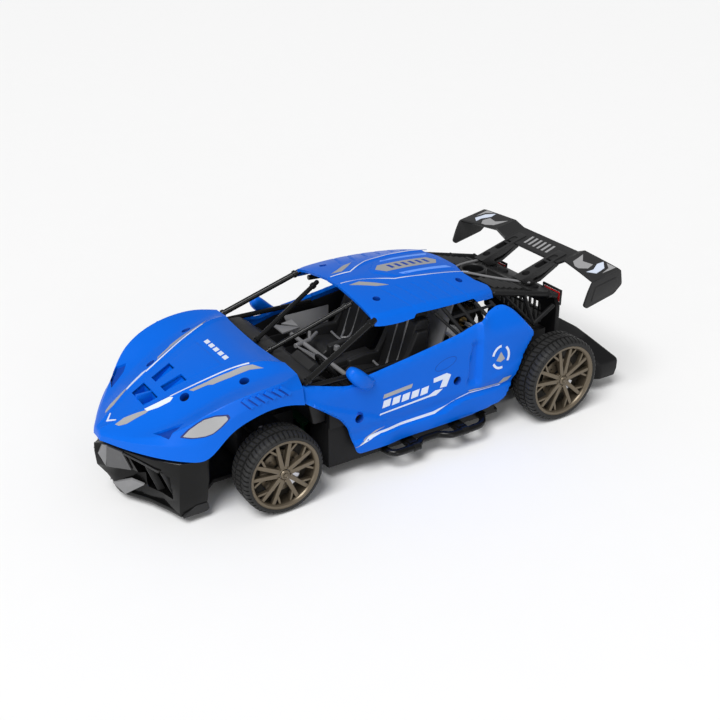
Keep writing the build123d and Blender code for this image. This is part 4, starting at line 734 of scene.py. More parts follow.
def side_panel(side, name):
    outline = rounded(SIDE_TOP + SIDE_REAR + SIDE_BOTTOM + SIDE_ARCH, 2.2, 3)
    bm = bmesh.new()
    face = bm.faces.new([bm.verts.new((x, 0, z)) for x, z in outline])
    ring = [face]
    for width in (0.35, 0.45, 0.7):
        bmesh.ops.inset_region(bm, faces=ring, thickness=width, use_even_offset=True)
        ring = [max(bm.faces, key=lambda f: f.calc_area())]
    for k, low, high in ((0, -78, 59), (2, 13, 70)):
        for i in range(1, int((high - low) / SIDE_GRID)):
            split(bm, k, low + i * SIDE_GRID)
    bmesh.ops.triangulate(bm, faces=[f for f in bm.faces if len(f.verts) > 4])
    rim = [Vector((p[0], p[1])) for p in outline]
    for vert in bm.verts:
        here = Vector((vert.co.x, vert.co.z))
        near = min(distance_to_edge(here, a, b) for a, b in zip(rim, rim[1:] + rim[:1]))
        round_off = 0.0
        if near < SIDE_ROUNDING:
            round_off = 1.1 * (1 - math.sqrt(max(0.0, 1 - (1 - near / SIDE_ROUNDING) ** 2)))
        vert.co.y = side_y(vert.co.x, vert.co.z) - round_off
    sheet = bpy.data.meshes.new("work")
    bmesh.ops.recalc_face_normals(bm, faces=bm.faces)
    if sum(f.normal.y for f in bm.faces) < 0:
        bmesh.ops.reverse_faces(bm, faces=bm.faces)
    bm.to_mesh(sheet)
    bm.free()
    drape = Draper(sheet, "y")
    skin = solidified(sheet, SIDE_WALL)
    cups, cutters, screws = sunk_screws(drape, SIDE_SCREWS, 2.3, 3.4, reach=4, sink=2.4)
    skin = cut(skin, cutters)
    turn = Matrix.Rotation(HANDLE_TILT, 2)
    middle = Vector(HANDLE_AT)
    oval = [middle + turn @ Vector((HANDLE_SIZE[0] * math.cos(a), HANDLE_SIZE[1] * math.sin(a))) for a in angles(20)]
    lines = [drape.strip([a, b], 0.28, lift=0.03) for a, b in zip(oval, oval[1:] + oval[:1])]
    white, silver = side_markings(drape)
    # The screw wells take the darker blue: painted shade inside them.
    parts = [("blue", skin), ("blue_dark", joined(cups))]
    marks = [("white", joined(white)), ("silver", joined(silver)), ("blue_dark", joined(lines))]
    if side < 0:
        parts = [(m, other_side(mesh)) for m, mesh in parts]
        marks = [(m, other_side(mesh)) for m, mesh in marks]
        screws = [other_side(mesh) for mesh in screws]
    piece(f"side_panel_{name}_look", "chassis", parts, [f"side_panel_{name}"], angle=28)
    piece(f"side_markings_{name}", "chassis", marks)
    SCREWS.extend(screws)


def distance_to_edge(p, a, b):
    along = b - a
    t = max(0.0, min(1.0, (p - a).dot(along) / max(along.length_squared, 1e-9)))
    return (p - a - along * t).length


def side_markings(drape):
    """Plain stripes where the toy has its printed lettering and sill line."""
    whites = [
        [(31.0, 18.6), (22, 20.9), (17, 21.6), (-16.6, 21.6), (-27.4, 25.7), (-37.5, 27.4), (-37.5, 27.9),
         (-31.4, 26.7), (-23.5, 24.4), (-15.6, 23.1), (17, 22.8), (23, 22.4)],
        [(-37.8, 27.4), (-57.6, 26.5), (-57.6, 26.9), (-37.8, 27.9)],
        [(17.4, 31.0), (16.8, 31.7), (-12.2, 33.5), (-16, 35.2), (-20.6, 34.9), (-16.6, 32.4), (-12, 32.5)],
        *([(x, 34.4 + 0.1 * k), (x - 0.9, 38.2 + 0.1 * k), (x - 5.2, 38.6 + 0.1 * k), (x - 4.3, 34.8 + 0.1 * k)]
          for k, x in enumerate((15.6, 10.0, 4.4, -1.2, -6.8))),
        [(-14.8, 39.8), (-14.8, 42.2), (-22.8, 43.1), (-25.4, 41.6), (-22.8, 35.6), (-18.8, 35.8), (-20.6, 40.2)],
    ]
    silvers = [
        [(15.2, 39.6), (14.6, 41.7), (-2.2, 43.0), (-1.4, 40.9)],
        [(33.0, 17.0), (27.0, 21.2), (20.0, 24.0), (14.6, 24.6), (18.6, 23.6), (25.2, 21.6)],
        [(-36.8, 29.2), (-56.4, 28.2), (-58.4, 31.0), (-63.6, 31.2), (-61.8, 28.4), (-58.0, 27.5), (-37.4, 28.5)],
        [(-55.6, 46.9), (-58.4, 42.4), (-55.6, 41.1), (-52.8, 42.4)],
    ]
    ring = [(-55.6 + 5.2 * math.cos(a), 44.0 + 6.2 * math.sin(a)) for a in angles(48)]
    white = [drape.lay(shape) for shape in whites]
    white += [drape.strip(ring[start:stop], 1.3) for start, stop in ((2, 13), (17, 29), (34, 45))]
    silver = [drape.lay(shape) for shape in silvers]
    return white, silver


def mirror_pod():
    """Rear-view mirror: a rounded arm that rises forward from the door and a head turned outwards."""
    spine = [((21.0, 48.4, 49.0), 1.6, 2.6), ((24.0, 49.6, 50.4), 2.4, 3.4), ((27.6, 50.2, 53.2), 3.1, 3.8),
             ((31.2, 50.0, 56.8), 3.6, 3.9), ((33.6, 49.4, 59.2), 3.2, 3.2), ((35.0, 48.9, 60.6), 1.6, 1.7)]
    along = Vector((0.72, 0.0, 0.69)).normalized()
    across = Vector((0, 1, 0))
    other = along.cross(across)
    squared = lambda value: math.copysign(abs(value) ** 0.75, value)
    unit = [(squared(math.cos(a)), squared(math.sin(a))) for a in angles(24)]
    loops = [[Vector(centre) + across * half_y * c + other * half_z * s for c, s in unit]
             for centre, half_y, half_z in spine]
    return evaluated(stack(loops), ("SUBSURF", {"levels": 1, "render_levels": 1}))


# ---------------------------------------------------------------- roof
# x, then (y, z) of the left half: centre, ridge foot, ridge, outer field, edge, flange top, flange foot.
ROOF = [
    (14.2, [(0, 83.3), (3.6, 83.3), (4.6, 83.5), (15, 82.2), (26, 80.6), (34.6, 78.3), (36.6, 76.8), (37.6, 73.8)]),
    (11.5, [(0, 83.7), (3.9, 83.5), (4.9, 83.9), (16, 82.6), (27, 80.9), (35.6, 78.6), (37.6, 77.0), (39.0, 73.2)]),
    (0.0, [(0, 84.0), (4.6, 83.6), (5.8, 84.1), (16, 83.1), (27, 81.3), (36.4, 78.9), (38.4, 77.4), (40.0, 72.6)]),
    (-14.0, [(0, 84.05), (12.6, 83.2), (14.0, 83.9), (20, 82.8), (27.6, 81.1), (36.8, 78.8), (38.9, 77.4),
             (40.2, 74.2)]),
    (-30.0, [(0, 83.8), (15.0, 82.7), (16.6, 83.4), (21.4, 82.2), (28, 80.4), (36.6, 78.0), (38.6, 76.6),
             (39.8, 74.0)]),
    (-46.0, [(0, 82.3), (16.6, 81.2), (18.0, 81.9), (22, 80.7), (28, 79.0), (35.8, 76.6), (37.8, 75.2), (38.8, 72.2)]),
    (-56.0, [(0, 80.5), (17.4, 79.6), (18.6, 80.2), (22.4, 79.0), (27.6, 77.3), (33.8, 75.3), (35.8, 73.8),
             (36.8, 70.8)]),
    (-60.8, [(0, 79.4), (17.8, 78.5), (18.8, 79.1), (22.4, 77.9), (27.0, 76.2), (32.0, 74.7), (34.0, 73.2),
             (35.2, 70.2)]),
]
ROOF_SCREWS = [(4.4, 25.6), (-46.0, 25.1)]


def roof_relief(x, y):
    """How far the raised field and the side ribs stand above the roof's smooth surface."""
    y = abs(y)
    height = 0.0
    if inside((x, y), [(-9, -1), (-9, 2), (-17, 10.8), (-52, 12.8), (-54, -1)]):
        height += 0.4
    if y > 18.5 + max(0.0, -0.1 * x) and -44 < x < -2:
        phase = (x + 2 + (y - 20) * 0.35) / 8.4
        height -= 0.28 * ramp(0.80, 0.88, phase % 1.0) * (1 - ramp(0.90, 0.98, phase % 1.0)) * ramp(18.5, 20, y)
    return height


def roof():
    rows, creases = half_rows(ROOF, {1: 0.4, 2: 0.85, 5: 0.5, 6: 0.35, 7: 1.0})
    outer = smooth_sheet(rows, creases, levels=4)
    for vert in outer.vertices:
        vert.co.z += roof_relief(vert.co.x, vert.co.y)
    drape = Draper(outer, "z")
    skin = thickened(outer, SKIN)
    spots = [(x, side * y) for x, y in ROOF_SCREWS for side in (1, -1)]
    cups, cutters, screws = sunk_screws(drape, spots, 1.9, 3.4, reach=5, sink=2.4, head=1.4)
    # the rear edge is scooped forward in the middle, and the side windows rise above the flange
    rear_left = [(-66, 33.4), (-63.6, 32.3), (-60.5, 29.5), (-55.6, 25.7), (-52.9, 20), (-56.5, 8.3)]
    rear = prism(rear_left + flip(rear_left[::-1]), "z", 70, 90)
    window = prism(rounded([(-5.6, 70), (-9.5, 75.3), (-46.5, 74.1), (-50.5, 68)], 1.5), "y", -45, 45)
    skin = cut(skin, cutters + [rear, window])
    # The screw wells take the darker blue: painted shade inside them.
    piece("roof_look", "chassis", [("blue", skin), ("blue_dark", joined(cups))], ["roof_panel"], angle=28)
    SCREWS.extend(screws)
    shield = [(-11.5, 0), (-15.6, 4.6), (-46.5, 4.6), (-49.6, 0), (-46.5, -4.6), (-15.6, -4.6)]
    flash = [(9.4, 8.6), (3.4, 8.0), (-3.0, 12.8), (-8.2, 17.6), (-2.2, 16.0), (4.6, 11.4)]
    line = [(12.2, 4.9), (0.0, 5.8), (-6.6, 9.8), (-14, 14.0), (-30, 16.6), (-46, 18.0), (-57, 18.6)]
    band = [(-20.0, 8.8), (-49.5, 8.8), (-51.5, 11.6), (-21.5, 10.8)]
    silver, white, pale = [drape.lay(shield)], [], []
    for mirror in (list, flip):
        silver.append(drape.lay(mirror(flash)))
        white.append(drape.strip(mirror(line), 0.55))
        pale.append(drape.lay(mirror(band)))
    starts = [-19.5 - 4.4 * k for k in range(6)]
    bars = [drape.lay([(x, -2.2), (x - 0.8, 2.2), (x - 2.7, 2.2), (x - 1.9, -2.2)], lift=0.2) for x in starts]
    marks = [("silver", joined(silver)), ("white", joined(white)), ("pale_blue", joined(pale)),
             ("blue_dark", joined(bars))]
    piece("roof_markings", "chassis", marks)


# ---------------------------------------------------------------- wheels
TYRE_WIDTH = 16.0
TYRE_PITCHES = 52
SPOKE_PAIRS = 5
# outer face of the wheel that the profiles of rim and cap are drawn for
DRAWN_FACE = 57.5


def tyre(x, radius, rim_r, out_y):
    """Left tyre with two grooves, fine cross cuts and a ring of small shoulder blocks."""
    in_y = out_y - TYRE_WIDTH
    bulge = (radius + rim_r) / 2
    # y, radius, and how deep the cross grooves are there
    line = [
        (in_y + 1.2, rim_r, 0), (in_y + 0.3, rim_r + 0.7, 0), (in_y, bulge, 0), (in_y + 0.15, radius - 1.4, 0.2),
        (in_y + 0.7, radius - 0.75, 0.5), (in_y + 1.6, radius - 0.25, 0.6), (in_y + 4.7, radius, 0.6),
        (in_y + 4.9, radius - 1.0, 0), (in_y + 5.9, radius - 1.0, 0), (in_y + 6.1, radius, 0.5),
        (in_y + 9.9, radius, 0.5),
        (in_y + 10.1, radius - 1.0, 0), (in_y + 11.1, radius - 1.0, 0), (in_y + 11.3, radius, 0.6),
        (out_y - 2.4, radius - 0.15, 0.6), (out_y - 1.3, radius - 0.5, 0.8), (out_y - 0.6, radius - 1.0, 0.8),
        (out_y - 0.15, radius - 1.7, 0.0), (out_y, bulge, 0), (out_y - 0.15, rim_r + 0.7, 0),
        (out_y - 0.9, rim_r + 0.1, 0),
        (out_y - 1.4, rim_r - 0.3, 0),
    ]
    loops = []
    for pitch in range(TYRE_PITCHES):
        for share, grooved in ((0.0, False), (0.05, True), (0.28, True), (0.33, False)):
            loop = []
            for y, r, depth in line:
                lean = 0.25 * math.sin((y - in_y - 8) / 3.0) if 4 < y - in_y < 12 else 0.0
                angle = 2 * PI * (pitch + share + lean) / TYRE_PITCHES
                reach = r - (depth if grooved else 0.0)
                loop.append((x + reach * math.cos(angle), y, radius + reach * math.sin(angle)))
            loops.append(loop)
    return stack(loops, ring=True)


def spoke(centre, start, end, widths, y0, y1):
    """Tapered bar of the wheel face between two points in X and Z."""
    a, b = Vector(start), Vector(end)
    side = (b - a).normalized().orthogonal()
    outline = [a + side * widths[0] / 2, b + side * widths[1] / 2, b - side * widths[1] / 2, a - side * widths[0] / 2]
    loops = [[(centre[0] + p.x, y, centre[1] + p.y) for p in outline] for y in (y1, y0)]
    return stack(loops, bevel=0.28, segments=2)


def shifted(point, by):
    return point[0] + by[0], point[1] + by[1]


def hexagon(centre, radius):
    return [shifted(centre, (radius * math.cos(a), radius * math.sin(a))) for a in angles(6)]


def polar(radius, degrees):
    return radius * math.cos(math.radians(degrees)), radius * math.sin(math.radians(degrees))


def rim(x, z, rim_r, out_y):
    """Left rim: stepped barrel, five pairs of spokes that branch at the rim, hub and brake disc look."""
    c = (x, z)
    face = out_y - DRAWN_FACE
    barrel = [(rim_r + r, y + face) for r, y in (
        (0.15, 43.0), (0.4, 42.6), (0.15, 42.3), (-1.2, 42.4), (-1.7, 43.2), (-1.9, 48.0), (-1.5, 53.4), (-1.3, 54.0),
        (-1.5, 55.6), (-1.2, 56.4), (-0.7, 56.9), (0.2, 57.05), (0.5, 56.7), (0.3, 56.0), (-0.2, 55.4), (-0.6, 50.0),
    )]
    bronze, nuts = [turned(barrel, c, 96)], []
    reach = rim_r - 1.3
    step = 360 / SPOKE_PAIRS
    for k in range(SPOKE_PAIRS):
        middle = step * k + 90
        for fork in (-1, 1):
            straight = (polar(3.0, middle + fork * 18), polar(reach, middle + fork * 12.0))
            branch = (polar(reach * 0.66, middle + fork * 12.5), polar(reach, middle + fork * 26))
            bronze.append(spoke(c, *straight, (2.3, 1.8), 53.9 + face, 56.2 + face))
            bronze.append(spoke(c, *branch, (1.2, 1.1), 53.9 + face, 55.9 + face))
        nut = hexagon(shifted(c, polar(3.4, middle - step / 2)), 0.55)
        nuts.append(prism(nut, "y", 55.4 + face, 56.6 + face))
    hub = [(r, y + face) for r, y in ((0.01, 54.2), (2.6, 54.2), (2.8, 53.2), (4.2, 53.4), (4.4, 54.6), (3.9, 55.9),
                                      (2.8, 56.3), (2.5, 55.6), (2.4, 55.0), (0.01, 55.0))]
    bronze += [turned(hub, c, 48), *nuts]
    back = [(r, y + face) for r, y in ((0.01, 49.2), (rim_r - 1.8, 49.2), (rim_r - 1.8, 50.0), (6.0, 50.2), (5.2, 51.8),
                                       (0.01, 52.0))]
    disc = [(r, y + face) for r, y in ((4.4, 51.6), (10.6, 51.6), (10.9, 51.9), (10.6, 52.2), (4.4, 52.2))]
    holes = []
    for k in range(15):
        u, w = shifted(c, polar(8.2, 24 * k))
        holes.append(rod((u, 51 + face, w), (u, 53 + face, w), 0.45, sides=8))
    return bronze, [turned(back, c, 64)], [cut(turned(disc, c, 64), holes)]


def wheel(place, size, body, side):
    """Tyre and rim pieces of one wheel. Gives back the parts of its cap."""
    x, z, rim_r, out_y = size
    bronze, dark, steel = rim(x, z, rim_r, out_y)
    face = out_y - DRAWN_FACE
    cap = [(r, y + face) for r, y in ((0.01, 56.2), (2.4, 56.2), (2.5, 56.5), (2.1, 57.0), (1.5, 57.15), (1.3, 56.9),
                                      (0.01, 56.85))]
    bolt = prism(hexagon((x, z), 1.0), "y", 56.6 + face, 57.3 + face, bevel=0.1)
    pad = [polar(r, a) for r, a in ((4.8, -112), (9.8, -118), (10.4, -138), (9.8, -158), (4.8, -164))]
    caliper = prism([shifted((x, z), p) for p in pad], "y", 52.2 + face, 53.8 + face, bevel=0.4)
    bead = turned([(rim_r + r, y + face) for r, y in ((0.7, 57.1), (0.45, 57.3), (0.2, 57.1), (0.45, 56.9))], (x, z),
                  96)
    sets = {
        "tyre": [("rubber", tyre(x, z, rim_r, out_y))],
        "rim": [("bronze", joined(bronze)), ("bronze_dark", joined(dark)), ("bronze", joined(steel)), ("bronze", bead)],
        "cap": [("bronze", turned(cap, (x, z), 48)), ("bronze", bolt), ("steel", caliper)],
    }
    if side < 0:
        sets = {k: [(m, other_side(mesh)) for m, mesh in parts] for k, parts in sets.items()}
    piece(f"tyre_{place}_look", body, sets["tyre"], [f"tyre_{place}"], angle=22)
    piece(f"rim_{place}_look", body, sets["rim"], [f"rim_{place}"])
    return sets["cap"]


def wheels():
    for side, name in ((1, "left"), (-1, "right")):
        cap = wheel(f"front_{name}", FRONT_WHEEL, f"wheel_front_{name}", side)
        piece(f"cap_front_{name}_look", f"wheel_front_{name}", cap, [f"wheel_cap_front_{name}"])
    caps = wheel("rear_left", REAR_WHEEL, "rear_axle", 1) + wheel("rear_right", REAR_WHEEL, "rear_axle", -1)
    piece("caps_rear_look", "rear_axle", caps, ["wheel_caps_rear"])


# ---------------------------------------------------------------- smaller pieces of the body
def door_mirrors():
    piece("door_mirrors_look", "chassis", [("blue", joined(both(mirror_pod())))], ["door_mirrors"])


def symmetric(points):
    """Close a left-hand plan outline, front to back, with its mirror image."""
    return points + [(x, -y) for x, y in reversed(points) if y > 0]


def levels(table, **bevel):
    """Solid through plan outlines, given as z and a left half each."""
    return stack([[(x, y, z) for x, y in symmetric(half)] for z, half in table], **bevel)


PLATE_LIFT = 0.95


def plate(points, depth, bevel=0.2, core=(0, 0, 20)):
    """Flat plate whose outer face, turned away from the core, has these corners."""
    corners = [Vector(p) for p in points]
    normal = (corners[1] - corners[0]).cross(corners[2] - corners[0]).normalized()
    if normal.dot(corners[0] - Vector(core)) < 0:
        normal = -normal
    corners = [p + normal * PLATE_LIFT for p in corners]
    return stack([corners, [p - normal * depth for p in corners]], bevel=bevel)


def front_bumper():
    face = levels([
        (34.0, [(138.6, 0), (136.6, 2.0), (134.8, 4.5), (131.0, 13.6), (122.5, 27), (116, 37.0), (110, 39), (103, 39)]),
        (31.6, [(143.7, 0), (140.4, 2.0), (138.7, 4.5), (134.9, 13.8), (126.5, 29), (118, 39), (112, 41), (104, 41)]),
        (27.0, [(143.9, 0), (143.0, 2.2), (139.4, 4.4), (133.2, 13.9), (126, 29), (118.4, 39.6), (112, 41),
                (104.5, 41)]),
        (20.0, [(143.4, 0), (140.8, 2.9), (139.9, 3.9), (131.2, 13.8), (124.6, 28.5), (119, 39.6), (113, 41),
                (105, 41)]),
        (17.2, [(141.6, 0), (137.2, 3.2), (134.6, 5.0), (125.6, 14), (122.6, 27.5), (119.3, 39.6), (113, 41),
                (105.6, 41)]),
        (13.0, [(139.0, 0), (136.8, 2.4), (135.4, 3.6), (126.8, 15), (122.4, 27), (119.6, 39.6), (113, 41), (106, 41)]),
        (6.0, [(135.6, 0), (135.4, 2.4), (135.2, 4), (129.0, 14), (122.5, 26), (120, 39.4), (114, 40.6), (107, 40.6)]),
    ], bevel=0.2)
    cutters = [levels([(z, [(112, 0), (112, 36), (100, 36), (100, 0)]) for z in (29.0, 4.0)])]
    # The pale grey and slate plates on the black bumper's facets are painted light: facets lighter where light falls on
    # them, palest on the ramp that faces up to the lip.
    pale, lit_slate_facets = [], []
    for side in (1, -1):
        for shapes, corners in (
            (pale, [(140.6, 2.2, 31.2), (143.0, 2.4, 27.0), (140.6, 3.4, 20.2), (138.9, 4.4, 31.2)]),
            (lit_slate_facets, [(138.8, 4.6, 31.2), (140.0, 4.2, 20.2), (131.3, 13.6, 20.2), (134.9, 13.6, 31.0)]),
            (pale, [(136.8, 1.0, 8.6), (131.6, 12, 14.6), (127.0, 16.4, 12.4), (133.8, 8.6, 5.4)]),
        ):
            shapes.append(plate([(x, side * y, z) for x, y, z in corners], 1.2, bevel=0.1))
        mouth = [(15.6, 28.8), (31.0, 25.8), (35.6, 24.0), (34.0, 11.6), (18.0, 11.0)]
        way = Vector((0.8, side * 0.6, 0))
        face_x = lambda y, z: 133.6 - (27 - z) * 0.37 - (y - 14) * (0.507 - (27 - z) * 0.0066)
        edge = [Vector((face_x(y, z), side * y, z)) for y, z in mouth]
        cutters.append(stack([[p - way * 9 for p in edge], [p + way * 12 for p in edge]]))
    body = cut(face, cutters)
    fins = [prism([(124.6, 25.6), (121.0, 25.2), (115.4, 10.6), (119.0, 10.2)], "y", 30.4, 32.4, bevel=0.3),
            prism([(129.0, 27.6), (125.6, 27.2), (119.6, 10.6), (123.0, 10.2)], "y", 22.2, 23.6, bevel=0.3)]
    trim = tube([(134.9, 14.2, 30.2), (130.2, 22.6, 28.4), (125.2, 31.6, 26.0)], 0.5, sides=10, smooth_steps=4)
    outline = [(135.8, 0), (135.4, 5), (133.8, 8.6), (126.9, 20), (122.0, 32), (119.6, 39.6), (107, 39.6),
               (103.9, 33.6)]
    lip = prism(symmetric(outline), "z", 4.1, 6.2, bevel=0.5)
    blade = prism(rounded([(119.4, 4.2), (112.4, 8.8), (106.4, 8.6), (105.9, 5.2), (107.4, 4.1)], 0.8, 3), "y", 38.4,
                  41.2,
                  bevel=0.4)
    trims = on_both_sides((*fins, trim, blade))
    parts = [("gloss", body), ("gloss", lip), ("grey", joined(pale)), ("slate", joined(lit_slate_facets)),
             ("charcoal", joined(trims))]
    piece("front_bumper_look", "chassis", parts, ["front_bumper"], angle=24)


def rear_bumper():
    body = levels([
        (8.0, [(-113, 0), (-113, 33), (-119, 39.5), (-131.5, 47.5), (-142.4, 47.6), (-143.4, 30), (-143.4, 0)]),
        (13.0, [(-113, 0), (-113, 33), (-119, 40), (-130.6, 48.6), (-143.2, 48.4), (-143.8, 30), (-143.8, 0)]),
        (18.5, [(-113, 0), (-113, 33), (-119, 39.5), (-129.6, 48.4), (-143.7, 48.0), (-143.9, 30), (-143.9, 0)]),
        (30.6, [(-113, 0), (-113, 31), (-118, 33.6), (-126, 35.4), (-132, 33), (-134.4, 22), (-134.4, 0)]),
    ], bevel=1.3, segments=3)
    inside_left = [(-113, 0), (-113, 31), (-124, 33), (-138, 33), (-138, 0)]
    hollow = levels([(7.0, [(x + 2 if x > -120 else x, y) for x, y in inside_left]), (26.0, inside_left)])
    panel = prism([(-22, 17.4), (22, 17.4), (19, 11.4), (-19, 11.4)], "x", -146, -142.6)
    vents = [prism([(y - 4, 16.6), (y + 4, 16.6), (y + 3, 11.8), (y - 3, 11.8)], "x", -146, -141.2) for y in (-34, 34)]
    body = cut(body, [hollow, panel, *vents])
    slats = [box(-142.6, -141.6, y - 3.6, y + 3.6, z, z + 0.7, bevel=0.15) for y in (-34, 34) for z in (12.8, 14.4)]
    fins = [prism([(-142, 8.2), (-128, 8.2), (-130, 5.6), (-140.5, 5.6)], "y", y - 0.6, y + 0.6, bevel=0.25)
            for y in (-27, -18, -9, 0, 9, 18, 27)]
    parts = [("black", body), ("charcoal", joined(slats)), ("black", joined(fins))]
    piece("rear_bumper_look", "chassis", parts, ["rear_bumper"], angle=28)


def tail():
    """Fascia with its grille, lamps, engine deck and braces."""
    panel = prism(rounded([(-31, 30.3), (31, 30.3), (31, 52), (28, 56.9), (-28, 56.9), (-31, 52)], 1.5, 3), "x", -112,
                  -109.2,
                  bevel=0.4)
    opening = prism(rounded([(-20, 38), (20, 38), (18, 50), (-18, 50)], 2), "x", -114, -107)
    panel = cut(panel, [opening])
    bars = [box(-111.4, -109.8, y - 0.5, y + 0.5, 37.4, 50.4, bevel=0.2) for y in range(-16, 17, 4)]
    bars.append(box(-111.0, -110.0, -20.4, 20.4, 43.6, 44.6, bevel=0.2))
    piece("rear_fascia_look", "chassis", [("black", panel), ("charcoal", joined(bars))], ["rear_fascia"])
    lens = prism([(-112, 53.4), (-112, 59.4), (-112.8, 59.2), (-114.0, 54.0)], "y", 17.0, 29.4, bevel=0.4)
    ribs = [box(-114.1, -112.4, 18.2 + k * 2.3, 18.8 + k * 2.3, 54.2, 58.4, bevel=0.1) for k in range(5)]
    frame_bar = tube([(-112.4, 16.2, 52.6), (-112.4, 16.2, 60.2), (-112.4, 30.4, 60.2), (-112.4, 30.4, 52.6)], 0.55,
                     closed=True,
                     sides=8)
    piece("tail_lamps_look", "chassis", [("red", joined(both(lens))), ("red", joined(on_both_sides(ribs))),
                                         ("black", joined(both(frame_bar)))],
          ["tail_lamps"])
    slope = -13.0 / 48.0
    deck_z = lambda x: 73.0 + (-60.0 - x) * slope
    extras = []
    for x in [-68.5 - 4.2 * k for k in range(5)]:
        z = deck_z(x)
        slat = [(x, z + 0.2), (x - 2.6, z + 0.6), (x - 3.0, z - 0.1), (x - 0.4, z - 1.3)]
        extras.append(prism(slat, "y", 11.6, 26.4, bevel=0.2))
    ring = [(-75 + 6.7 * math.cos(a), 6.7 * math.sin(a), deck_z(-75) + 1.9) for a in angles(40)]
    extras = both(joined(extras)) + [tube(ring, 0.9, sides=10, closed=True)]
    section = [(x, deck_z(x) + up) for x, up in ((-90.5, 0.8), (-93.5, 0.8), (-93.5, -1), (-90.5, -1))]
    beam = prism(section, "y", -28, 28, bevel=0.3)
    engine = [box(-104, -97, y - 4, y + 4, deck_z(-100) - 1, deck_z(-104) + 1.6, bevel=0.6) for y in (-18, -8, 8, 18)]
    restyled("rear_deck", "chassis", "black", bevel=0.3,
             extra=[("charcoal", joined(extras)), ("charcoal", beam), ("black", joined(engine))])
    pipe = tube([(-64.5, 3.5, 72.9), (-79.5, 12.5, 69.2), (-98.5, 20.5, 64.8)], 0.7, smooth_steps=6)
    rails = [
        tube([(-62.0, 32.8, 71.4), (-101.3, 32.4, 61.9), (-107.6, 32, 59.0)], 1.5),
        rod((-84.4, 32.4, 64.6), (-91.4, 32.4, 47.6), 1.2), rod((-105.6, 32.4, 54.4), (-91.6, 32.4, 46.2), 1.3),
        rod((-70.0, 32.4, 68.8), (-91.0, 32.4, 47.4), 0.9),
    ]
    collars = [rod((x - 1.2, 32.4, z + 0.3), (x + 1.2, 32.4, z - 0.3), 2.0) for x, z in ((-84.0, 65.7), (-101.3, 61.6))]
    meshes = on_both_sides(rails + collars)
    piece("rear_braces_look", "chassis", [("black", joined(meshes)), ("grey", joined(both(pipe)))], ["rear_braces"])


# ---------------------------------------------------------------- wing
WING = [(0, (-115.0, 73.4), (-129.6, 77.4)), (22.8, (-115.0, 73.4), (-129.6, 77.4)),
        (29.1, (-113.6, 77.4), (-128.5, 80.2)), (42, (-111.4, 76.6), (-128.2, 79.6)),
        (56.6, (-108.7, 75.4), (-127.8, 78.8))]


def wing():
    half = []
    for y, (xf, zf), (xr, zr) in WING:
        loop = []
        for t, up in ((0, 0.0), (0.04, 0.42), (0.25, 0.2), (0.6, 0.0), (0.94, 0.15), (1, 0.0), (0.96, -1.1),
                      (0.6, -1.7), (0.25, -1.8), (0.04, -1.1)):
            loop.append((xf + (xr - xf) * t, y, zf + (zr - zf) * t + up))
        half.append(loop)
    mirror = [[(x, -y, z) for x, y, z in loop] for loop in half[:0:-1]]
    slab = stack(mirror + half, bevel=0.15)
    drape = Draper(slab, "z")
    outline = [(-108.5, 75.4), (-127.9, 79.0), (-129.7, 70.2), (-124.5, 65.7), (-105.6, 61.5), (-103.8, 63.2),
               (-106, 69.9)]
    end = prism(rounded(outline, 1.2, 3), "y", 55.9, 57.4, bevel=0.4)
    rib = prism(rounded([(-110.5, 72.6), (-125.2, 75.2), (-126.4, 70.6), (-122.8, 67.6), (-108.2, 64.4)], 1.0, 3), "y",
                57.2, 57.8,
                bevel=0.2)
    arm = prism([(-91.5, 67.6), (-116, 74.6), (-124, 76.5), (-118, 70.4), (-106, 63.9), (-97, 63.0)], "y", 13.4, 20.4,
                bevel=0.5)
    slot = rounded([(-104.6, 15.2), (-119.4, 15.2), (-119.4, 19.0), (-104.6, 19.0)], 1.8, 4)
    holes = [rod((-97.9, 17.1, 55), (-97.9, 17.1, 80), 2.2), prism(slot, "z", 55, 80)]
    window = prism(rounded([(-100.5, 66.6), (-108.5, 68.6), (-116.5, 72.6), (-107, 66.0), (-101, 64.8)], 0.6, 2), "y",
                   10, 24)
    arm = cut(arm, holes + [window])
    bar = rod((-112.4, 14.6, 73.2), (-112.4, 19.6, 73.2), 0.7)
    ear = rod((-93.5, 14.2, 64.5), (-93.5, 19.6, 64.5), 1.6)
    solid = [slab] + on_both_sides((end, rib, arm, bar, ear))
    inner = [(-111.6, 40.4), (-115.8, 33.8), (-124.6, 31.8), (-119.6, 37.2), (-121.0, 43.6), (-116.4, 44.8)]
    arrow = [(-113.2, 47.0), (-117.6, 47.6), (-122.8, 44.6), (-126.6, 45.4), (-122.6, 50.4), (-116.0, 51.6)]
    outer = [(-118.4, 53.4), (-124.0, 52.0), (-126.8, 47.6), (-127.0, 54.2)]
    silver, white = [], []
    for mirror in (list, flip):
        silver += [drape.lay(mirror(shape), step=3) for shape in (inner, outer)]
        white.append(drape.lay(mirror(arrow), step=3))
    bars = []
    for y in [-9.6 + 3.6 * k for k in range(6)]:
        bars.append(drape.lay([(-118.2, y), (-118.4, y + 1.5), (-125.6, y + 0.7), (-125.4, y - 0.8)], step=3))
    parts = [("charcoal", joined(solid)), ("silver", joined(silver)), ("white", joined(white)),
             ("silver", joined(bars))]
    piece("rear_wing_look", "chassis", parts, ["rear_wing"], angle=26)


